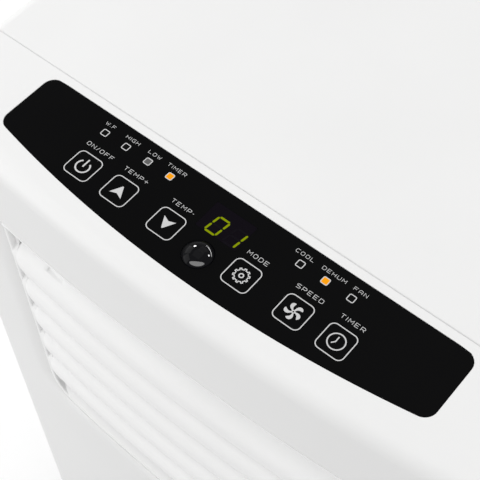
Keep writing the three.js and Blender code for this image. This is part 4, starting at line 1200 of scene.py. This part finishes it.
def make_blade(joint):
    """A bulging blade, bowed like the case, with round end corners."""
    base = pivot_of(joint)[1] - SLAT_LOW
    ends = [SLAT_HALF - v for v in (0, 0.2, 0.6, 1.2, 2.2, 3.6, 5.2, 7, 9, 12)]
    rings = []
    for x in [-x for x in ends] + spread(18 - SLAT_HALF, SLAT_HALF - 18, 36) + ends[::-1]:
        inside = SLAT_HALF - abs(x)
        trims = [corner * (1 - curl(inside, corner)) for corner in SLAT_END_CORNERS]
        section = slat_section(*trims, 0.5 + 0.5 * curl(inside, 1.2))
        rings.append([on_front(x, 1 - curl(inside, 4) + d, base + z) for d, z in section])
    bm = bmesh.new()
    stack(bm, rings)
    blade = new_object(f"{joint['child']}_blade", bm, 42)

    def notch(bm):
        x0, x1, low = NOTCH
        floor = [(d + 1.3, z) for d, z in smooth_path(SLAT_FACE) if z > low]
        front = floor[0][0] - 6
        section = [(front, floor[0][1]), *floor, (floor[-1][0], 60), (front, 60)]
        bowed_bar(bm, section, (x0, x1), base)

    x0, x1, low = LINK_BAR_ROOM
    room = box_cutter(x0, x1, CASE_FRONT - 5, CASE_FRONT + 40, base + low, base + SLAT_LOW + 60)
    carve(blade, [notch, room])
    shade(blade, 42)
    place(blade, joint["child"], "white_louvre", LOUVRE_WHITE_WITH_PAINTED_LIGHT, joint["child"])


def make_fittings(joint):
    """A slat's pivot pins, lugs and crank, and a tab at each end under a slat above."""
    name = joint["child"]
    pivot = pivot_of(joint)
    bm = bmesh.new()
    for x0, x1 in ((SLAT_HALF - 2, SLAT_HALF + 8), (edges_of(name)[0], 2 - SLAT_HALF)):
        tip = PIVOT_PIN - 0.4
        lathe(bm, [(tip, x0), (PIVOT_PIN, x0 + 0.4), (PIVOT_PIN, x1 - 0.4), (tip, x1)], "x", pivot, 24)
    lug = [(-8.5, -4), (2, -4.2), *arc(0, 0, 4.2, -70, 80, 8), (-8.5, 7)]
    arm = [(-11, 4), *arc(CRANK_Y, CRANK_Z, 3.2, -80, 80, 8), (-11, 16)]
    lug_ends = ((SLAT_HALF - 4, SLAT_HALF - 0.5), (0.5 - SLAT_HALF, 4 - SLAT_HALF))
    for section, (x0, x1) in ((lug, lug_ends[0]), (lug, lug_ends[1]), (arm, (CRANK_X, CRANK_X + 3.5))):
        prism(bm, [(pivot[0] + a, pivot[1] + b) for a, b in section], "x", x0, x1)
    if joint is not SLATS[0]:
        # The tabs fill the view past the round corners of the slat above.
        for stations in ((SLAT_HALF - 12, SLAT_HALF - 0.6), (0.6 - SLAT_HALF, 12 - SLAT_HALF)):
            bowed_bar(bm, SLAT_TAB, stations, pivot[1] - SLAT_LOW)
    crank_pin = [(1.2, CRANK_X - 4.5), (1.6, CRANK_X - 4.1), (1.6, CRANK_X + 1)]
    lathe(bm, crank_pin, "x", (pivot[0] + CRANK_Y, pivot[1] + CRANK_Z), 20)
    piece(f"{name}_fittings", bm, 35, name, "white_louvre", LOUVRE_WHITE_WITH_PAINTED_LIGHT)


def slat_bearings(side):
    """Cutters for the holes that the slats' pins turn in."""
    ends = sorted((side * (SLAT_HALF - 2), side * (OUTLET_HALF + 6)))
    return [round_cutter(PIVOT_PIN + GAP, "x", pivot_of(joint), *ends, 24) for joint in SLATS]


def make_lining():
    """The outlet's lining: a ring with a fine upper rim, open at the back."""
    wall, edge, fine = 3.2, 1.5, 0.1
    back = edges_of("outlet_frame")[3]
    beside, rim, sill = 3.25, 0.15, 2.75  # depths of its front edge

    def ring(inset, step, at_back=False):
        points = []
        for x, z, t, b in outlet_outline(*[-LINING_GAP - inset] * 3):
            depth = beside + (rim - beside) * t + (sill - beside) * b + step
            points.append((x, back, z) if at_back else on_front(x, depth, z))
        return points

    rings = [ring(0, 0, True)]
    rings += [ring(inset, step) for step, inset in round_edge(fine, 6)]
    rings += [ring(wall - inset, step) for inset, step in round_edge(edge, 6)]
    rings.append(ring(wall, 0, True))
    bm = bmesh.new()
    hoop(bm, rings)
    lining = new_object("outlet_lining", bm, 45)
    carve(lining, slat_bearings(-1) + slat_bearings(1))
    shade(lining, 45)
    place(lining, "case", "white_louvre", LOUVRE_WHITE_WITH_PAINTED_LIGHT, "outlet_frame")


def make_sill_and_hood():
    bm = bmesh.new()
    half = OUTLET_HALF - 2.5
    for section, base in zip((SILL_SECTION, HOOD_SECTION), OUTLET_Z):
        bowed_bar(bm, section, spread(-half, half, 28), base)
    piece("outlet_sill_and_hood", bm, 50, "case", "white_louvre", LOUVRE_WHITE_WITH_PAINTED_LIGHT)


def make_cheek(side):
    """A cheek beside the slats; its front steps back behind the slat ends, like the slats themselves."""
    back = edges_of("outlet_frame")[3]
    low, high = OUTLET_Z[0] + 3, OUTLET_Z[1] - 4
    steps = [(5.5, low)]
    for base in sorted(pivot_of(joint)[1] - SLAT_LOW for joint in SLATS):
        steps += [(min(d, 5) + 2.2, base + z) for d, z in smooth_path(SLAT_FACE, 2) if z < 36]
    steps += [(6.5, high - 8), (5, high)]
    rings = []
    for x in (side * (SLAT_HALF + 0.6), side * (SLAT_HALF + 4), side * (OUTLET_HALF - 1)):
        rings.append([on_front(x, d, z) for d, z in steps] + [(x, back, high), (x, back, low)])
    bm = bmesh.new()
    stack(bm, rings)
    cheek = new_object(f"outlet_cheek_{HANDS[side]}", bm, 45)
    soften(cheek, 0.6, 3, 60)
    carve(cheek, slat_bearings(side))
    shade(cheek, 45)
    place(cheek, "case", "white_louvre", LOUVRE_WHITE_WITH_PAINTED_LIGHT)


# ---- back and underside


def make_collar():
    """The exhaust collar: a flange on the back, a ring, and three bosses on it for the hose."""
    x0, x1, y0, y1, _, _ = edges_of("exhaust_collar")
    centre = back_middle("exhaust_collar")
    outer, inner, flange = COLLAR_RADIUS, COLLAR_RADIUS - 3, (x1 - x0) / 2
    profile = [(inner, y0), (outer, y0)]
    steps = ((flange - 0.4, GAP), (flange, GAP + 0.5), (flange - 0.1, 2.2), (flange - 0.9, 3))
    steps = ((outer, GAP), *steps, (outer + 1.2, 3), (outer + 0.2, 3.8), (outer, 5))
    profile += [(radius, CASE_BACK + y) for radius, y in steps]
    steps = ((outer, 1), (outer - 0.4, 0.2), (outer - 1, 0), (inner + 1, 0), (inner + 0.3, 0.3), (inner, 1))
    profile += [(radius, y1 - y) for radius, y in steps]
    bm = bmesh.new()
    lathe(bm, profile, "y", centre, 96, hollow=True)
    boss = [(1.6, CASE_BACK + 5), (2.2, CASE_BACK + 6), (2.2, y1 - 3), (1.6, y1 - 2)]
    for i in range(3):
        lathe(bm, boss, "y", polar(centre, outer + 1.2, 90 + 120 * i), 16)
    piece("exhaust_collar_ring", bm, 35, "case", "white_case", WHITE, "exhaust_collar")


def screw(name, y, at, radius=4.0):
    """A pan-head screw in the back, with a cross recess."""
    x, z = at
    pan = ((1.0, 0.0), (1.0, 0.5), (0.86, 1.3), (0.5, 1.8), (0.0, 2.0))
    bm = bmesh.new()
    lathe(bm, [(radius * share, y + height) for share, height in pan], "y", at, 28)
    head = new_object(name, bm, 40)
    long, wide = radius * 0.5, 0.45
    arms = ((long, wide), (wide, long))
    carve(head, [box_cutter(x - a, x + a, y + 0.9, y + 5, z - b, z + b) for a, b in arms])
    smooth_by_angle(head, 35)
    place(head, "case", "white_case", SCREW)


def make_screws():
    x = REAR_PANEL_HALF - 12
    places = [(-x, 655), (x, 655), (-x, 420), (x, 380), (-x, 70), (x, 110), (0, 655), (0, 412)]
    for i, at in enumerate(places, 1):
        screw(f"rear_screw_{i}", CASE_BACK + 0.02, at)
    for i in range(4):
        at = polar(back_middle("exhaust_collar"), COLLAR_RADIUS + 5.6, 45 + 90 * i)
        screw(f"collar_screw_{i + 1}", CASE_BACK + 3.02, at, 2.8)


def make_drain_plug(name):
    """A push-in plug with a dished head and grip grooves round it."""
    x0, x1, y0, y1, _, _ = edges_of(name)
    centre = back_middle(name)
    head, start, grooves = (x1 - x0) / 2, y1 - 5, 16
    profile = [(5.2, y0), (5.9, y0 + 0.8), (5.9, start), (head - 0.6, start), (head, start + 0.8)]
    dish = ((head, 1.6), (head - 0.5, 0.5), (head - 1.6, 0), (head - 4, 0.1), (4.0, 1.2), (0.0, 1.5))
    profile += [(radius, y1 - y) for radius, y in dish]
    bm = bmesh.new()
    lathe(bm, profile, "y", centre, 40)
    plug = new_object(f"{name}_cap", bm, 35)
    places = [polar(centre, head + 0.4, 360 * i / grooves) for i in range(grooves)]
    carve(plug, [round_cutter(0.9, "y", at, start - 1, y1 + 1, 10) for at in places])
    smooth_by_angle(plug, 35)
    place(plug, name, "rubber_black", RUBBER, name)


def make_gland():
    """The cord's sleeve, with three ribs that let it bend."""
    _, _, y0, y1, _, _ = edges_of("cord_gland")
    bore = 3.6
    steps = [(8, GAP), (10.6, GAP), (11, GAP + 0.5), (11, 3.4), (10.4, 4), (6.8, 4)]
    for i in range(3):
        rib, groove, y = 6.5 - 0.3 * i, 5.6 - 0.3 * i, 4.4 + 2.2 * i
        steps += [(rib, y), (rib, y + 1.2), (groove, y + 1.3), (groove, y + 2.1)]
    profile = [(bore, y0), (8, y0)] + [(radius, CASE_BACK + y) for radius, y in steps]
    profile += [(5.4, y1 - 0.4), (5.0, y1), (bore + 0.4, y1), (bore, y1 - 0.4)]
    bm = bmesh.new()
    lathe(bm, profile, "y", back_middle("cord_gland"), 40, hollow=True)
    piece("cord_gland_sleeve", bm, 35, "case", "rubber_black", RUBBER, "cord_gland")


def make_castor_wheel(name):
    x0, x1, y0, y1, _, _ = edges_of(name)
    middle, *centre = middle_of(name)
    radius, half = (y1 - y0) / 2, (x1 - x0) / 2
    hub = ((2.8, 1.4), (6, 1.4), (6.5, 2.6), (12.5, 2.6), (13.2, 0.8), (14, 0.2))
    tyre = ((radius - 2.4, 0.2), (radius - 0.8, 1.0), (radius, 3), (radius, 5.6), (radius - 0.7, 6))
    side = [(r, half - inset) for r, inset in hub + tyre]
    profile = [(r, middle + x) for r, x in side] + [(r, middle - x) for r, x in reversed(side)]
    bm = bmesh.new()
    lathe(bm, profile, "x", centre, 64, hollow=True)
    piece(f"{name}_tyre", bm, 35, name, "rubber_black", RUBBER, name)


def make_castor_fork(name, wheel):
    """The bearing ring and its pin, the bridge over the wheel, the two cheeks and the axle."""
    fork_top = edges_of(name)[5]
    x0, x1 = edges_of(wheel)[:2]
    middle, *centre = middle_of(wheel)
    swivel = next(joint for joint in frame["joints"] if joint["child"] == name)
    sx, sy = (v / MM for v in swivel["pos_m"][:2])
    top = edges_of("base_pan")[4] - GAP
    inside, outside = (x1 - x0) / 2 + 0.6, (x1 - x0) / 2 + 3.0
    bm = bmesh.new()
    ring = [(15, top - 3), (15, top - 0.4), (14.6, top), (4, top), (4, fork_top - 0.5), (3.5, fork_top)]
    lathe(bm, ring, "z", (sx, sy), 40)
    cheek = [(sy - 8, top - 9), (sy - 8, top - 4), (centre[0] + 6, top - 4), (centre[0] + 10, top - 8)]
    cheek += arc(*centre, 6.8, 20, -180, 14) + [(sy - 4, top - 20)]
    prism(bm, cheek, "x", middle - outside, middle - inside)
    prism(bm, cheek, "x", middle + inside, middle + outside)
    sides = (middle - outside, middle + outside, sy - 8, centre[0] + 9)
    bridge_levels = [(0.4, top - 8), (0, top - 7.6), (0, top - 2.6)]
    plate(bm, lambda inset: rounded_rectangle(*sides, 3, inset, 5), "z", bridge_levels)
    axle = [(2.2, outside + 0.6), (3.4, outside + 0.3), (3.4, outside), (2.5, outside)]
    axle = [(r, middle - x) for r, x in axle] + [(r, middle + x) for r, x in reversed(axle)]
    lathe(bm, axle, "x", centre, 24)
    piece(f"{name}_bracket", bm, 35, name, "grey_plastic", CASTOR_GREY, name)


# ---- CAD nodes that stay

CAD_LOOKS = {
    GREY: (
        "base_pan", "mid_deck", "control_tray", "digit_display", "louvre_link_bar", "swing_motor",
        "evaporator_fan_housing", "condenser_fan_housing",
    ),
    FAN_PLASTIC: ("evaporator_fan_wheel", "condenser_fan_wheel", "float_arm"),
    GUIDE: ("lamp_light_guide",),
    BOARD: ("display_board", "main_board"),
    FINS: ("evaporator_coil", "condenser_coil"),
    STEEL: ("evaporator_fan_motor", "condenser_fan_motor"),
    BLACK_PAINT: ("compressor",),
    COPPER: ("suction_pipe",),
    GALVANISED: ("electrical_box", "run_capacitor"),
}


def finish_cad_nodes():
    for material, names in CAD_LOOKS.items():
        for name in names:
            mesh = frame["nodes"][name].data
            mesh.materials.clear()
            mesh.materials.append(material)


# ---- stage

CAMERA_PLACE = (0.25397, -0.38345, 1.24718)
CAMERA_AZIMUTH = -41.651
CAMERA_ELEVATION = 55.872
CAMERA_ROLL = -2.176
CAMERA_LENS = 87.41

# Each softbox, all in metres: its place, what it looks at, its side and its power.
SOFTBOXES = {
    "overhead_softbox": ((0, 0, 3.4), (0, 0, 0.6), 2.6, 12),
    "front_left_softbox": ((-2.0, -2.0, 1.63), (0, 0, 0.55), 2.0, 22),
    "left_softbox": ((-2.6, 0, 2.1), (0, 0, 0.55), 2.0, 21),
    "back_softbox": ((0, 1.93, 2.9), (0, 0, 0.55), 2.0, 8),
}
# Small lights that shine on the dome alone: direction from it, width, height and power.
DOME_LIGHTS = {
    "dome_spark": ((-0.70, 0.48, 0.53), 0.2, 0.2, 14),
    "dome_side_spark": ((0.62, 0.66, 0.42), 0.16, 0.16, 9),
    "dome_front_strip": ((0.45, -0.72, 0.52), 1.9, 0.5, 70),
    "dome_back_strip": ((0.25, 0.95, 0.16), 1.1, 0.05, 12),
}


def linked(name, data):
    """An object in the scene for a camera or a light."""
    made = bpy.data.objects.new(name, data)
    bpy.context.scene.collection.objects.link(made)
    return made


def make_camera():
    camera = bpy.data.cameras.new("camera")
    camera.lens = CAMERA_LENS
    camera.sensor_width = 36.0
    camera.clip_end = 50.0
    holder = linked("camera", camera)
    turn = Matrix.Rotation(math.radians(-CAMERA_AZIMUTH), 4, "Z")
    lean = Matrix.Rotation(math.radians(90 - CAMERA_ELEVATION), 4, "X")
    roll = Matrix.Rotation(math.radians(CAMERA_ROLL), 4, "Z")
    holder.matrix_world = Matrix.Translation(CAMERA_PLACE) @ turn @ lean @ roll
    bpy.context.scene.camera = holder


def area_light(name, at, target, size, power, shape="RECTANGLE"):
    light = bpy.data.lights.new(name, "AREA")
    light.shape = shape
    light.size, light.size_y = size
    light.energy = power
    holder = linked(name, light)
    holder.location = at
    holder.rotation_euler = (Vector(target) - Vector(at)).to_track_quat("-Z", "Y").to_euler()
    return holder


def light_dome(dome):
    top = Vector((0, DOME_Y, DOME_TOP)) * MM
    for name, (direction, wide, tall, power) in DOME_LIGHTS.items():
        light = area_light(name, top + Vector(direction).normalized(), top, (wide, tall), power, "ELLIPSE")
        lit = bpy.data.collections.new(f"{name}_lit")
        lit.objects.link(dome)
        light.light_linking.receiver_collection = lit
        light.visible_camera = False


def make_stage():
    """A pale floor that glows like a lit table, a white surround and four softboxes."""
    size = 12000.0
    bm = bmesh.new()
    block(bm, -size, size, -size, size, -40.0, 0.0)
    floor = new_object("floor", bm)
    paint = Surface("floor_paint", (0.5, 0.5, 0.5), 0.8, specular=0.2)
    paint.tint(paint.noise(1.5), (0.5, 0.5, 0.5), 0.01)
    paint.inputs["Emission Color"].default_value = (1, 1, 1, 1)
    # The floor looks whiter than the light it gives.
    seen = paint.node("LightPath", {}).outputs["Is Camera Ray"]
    glow = paint.node("Math", {0: seen, 1: 0.17, 2: 0.29}, operation="MULTIPLY_ADD")
    paint.tree.links.new(glow.outputs[0], paint.inputs["Emission Strength"])
    floor.data.materials.append(paint.material)
    world = bpy.data.worlds.new("studio")
    world.use_nodes = True
    background = world.node_tree.nodes["Background"]
    background.inputs["Color"].default_value = (1, 1, 1, 1)
    background.inputs["Strength"].default_value = 0.725
    bpy.context.scene.world = world
    for name, (at, target, side, power) in SOFTBOXES.items():
        area_light(name, at, target, (side, side), power)
    bpy.context.scene.view_settings.view_transform = "Standard"


# ---- everything

make_camera()
make_stage()
make_front_cover()
make_top_cover()
for hand in HANDS:
    make_side_panel(hand)
    make_handle_cup(hand)
make_rear_panel()
for grille, blade_rows in GRILLES.items():
    make_grille(grille, blade_rows)
for filter_node in FILTERS:
    make_filter(filter_node)
make_overlay()
for key in KEY_NODES:
    make_key_cap(key)
make_display()
light_dome(make_dome())
make_prints()
make_lining()
make_sill_and_hood()
for hand in HANDS:
    make_cheek(hand)
for slat_joint in SLATS:
    make_blade(slat_joint)
    make_fittings(slat_joint)
make_collar()
make_screws()
for drain_plug in DRAIN_PLUGS:
    make_drain_plug(drain_plug)
make_gland()
for corner in ("front_left", "front_right", "rear_left", "rear_right"):
    make_castor_wheel(f"{corner}_castor_wheel")
    make_castor_fork(f"{corner}_castor_fork", f"{corner}_castor_wheel")
finish_cad_nodes()
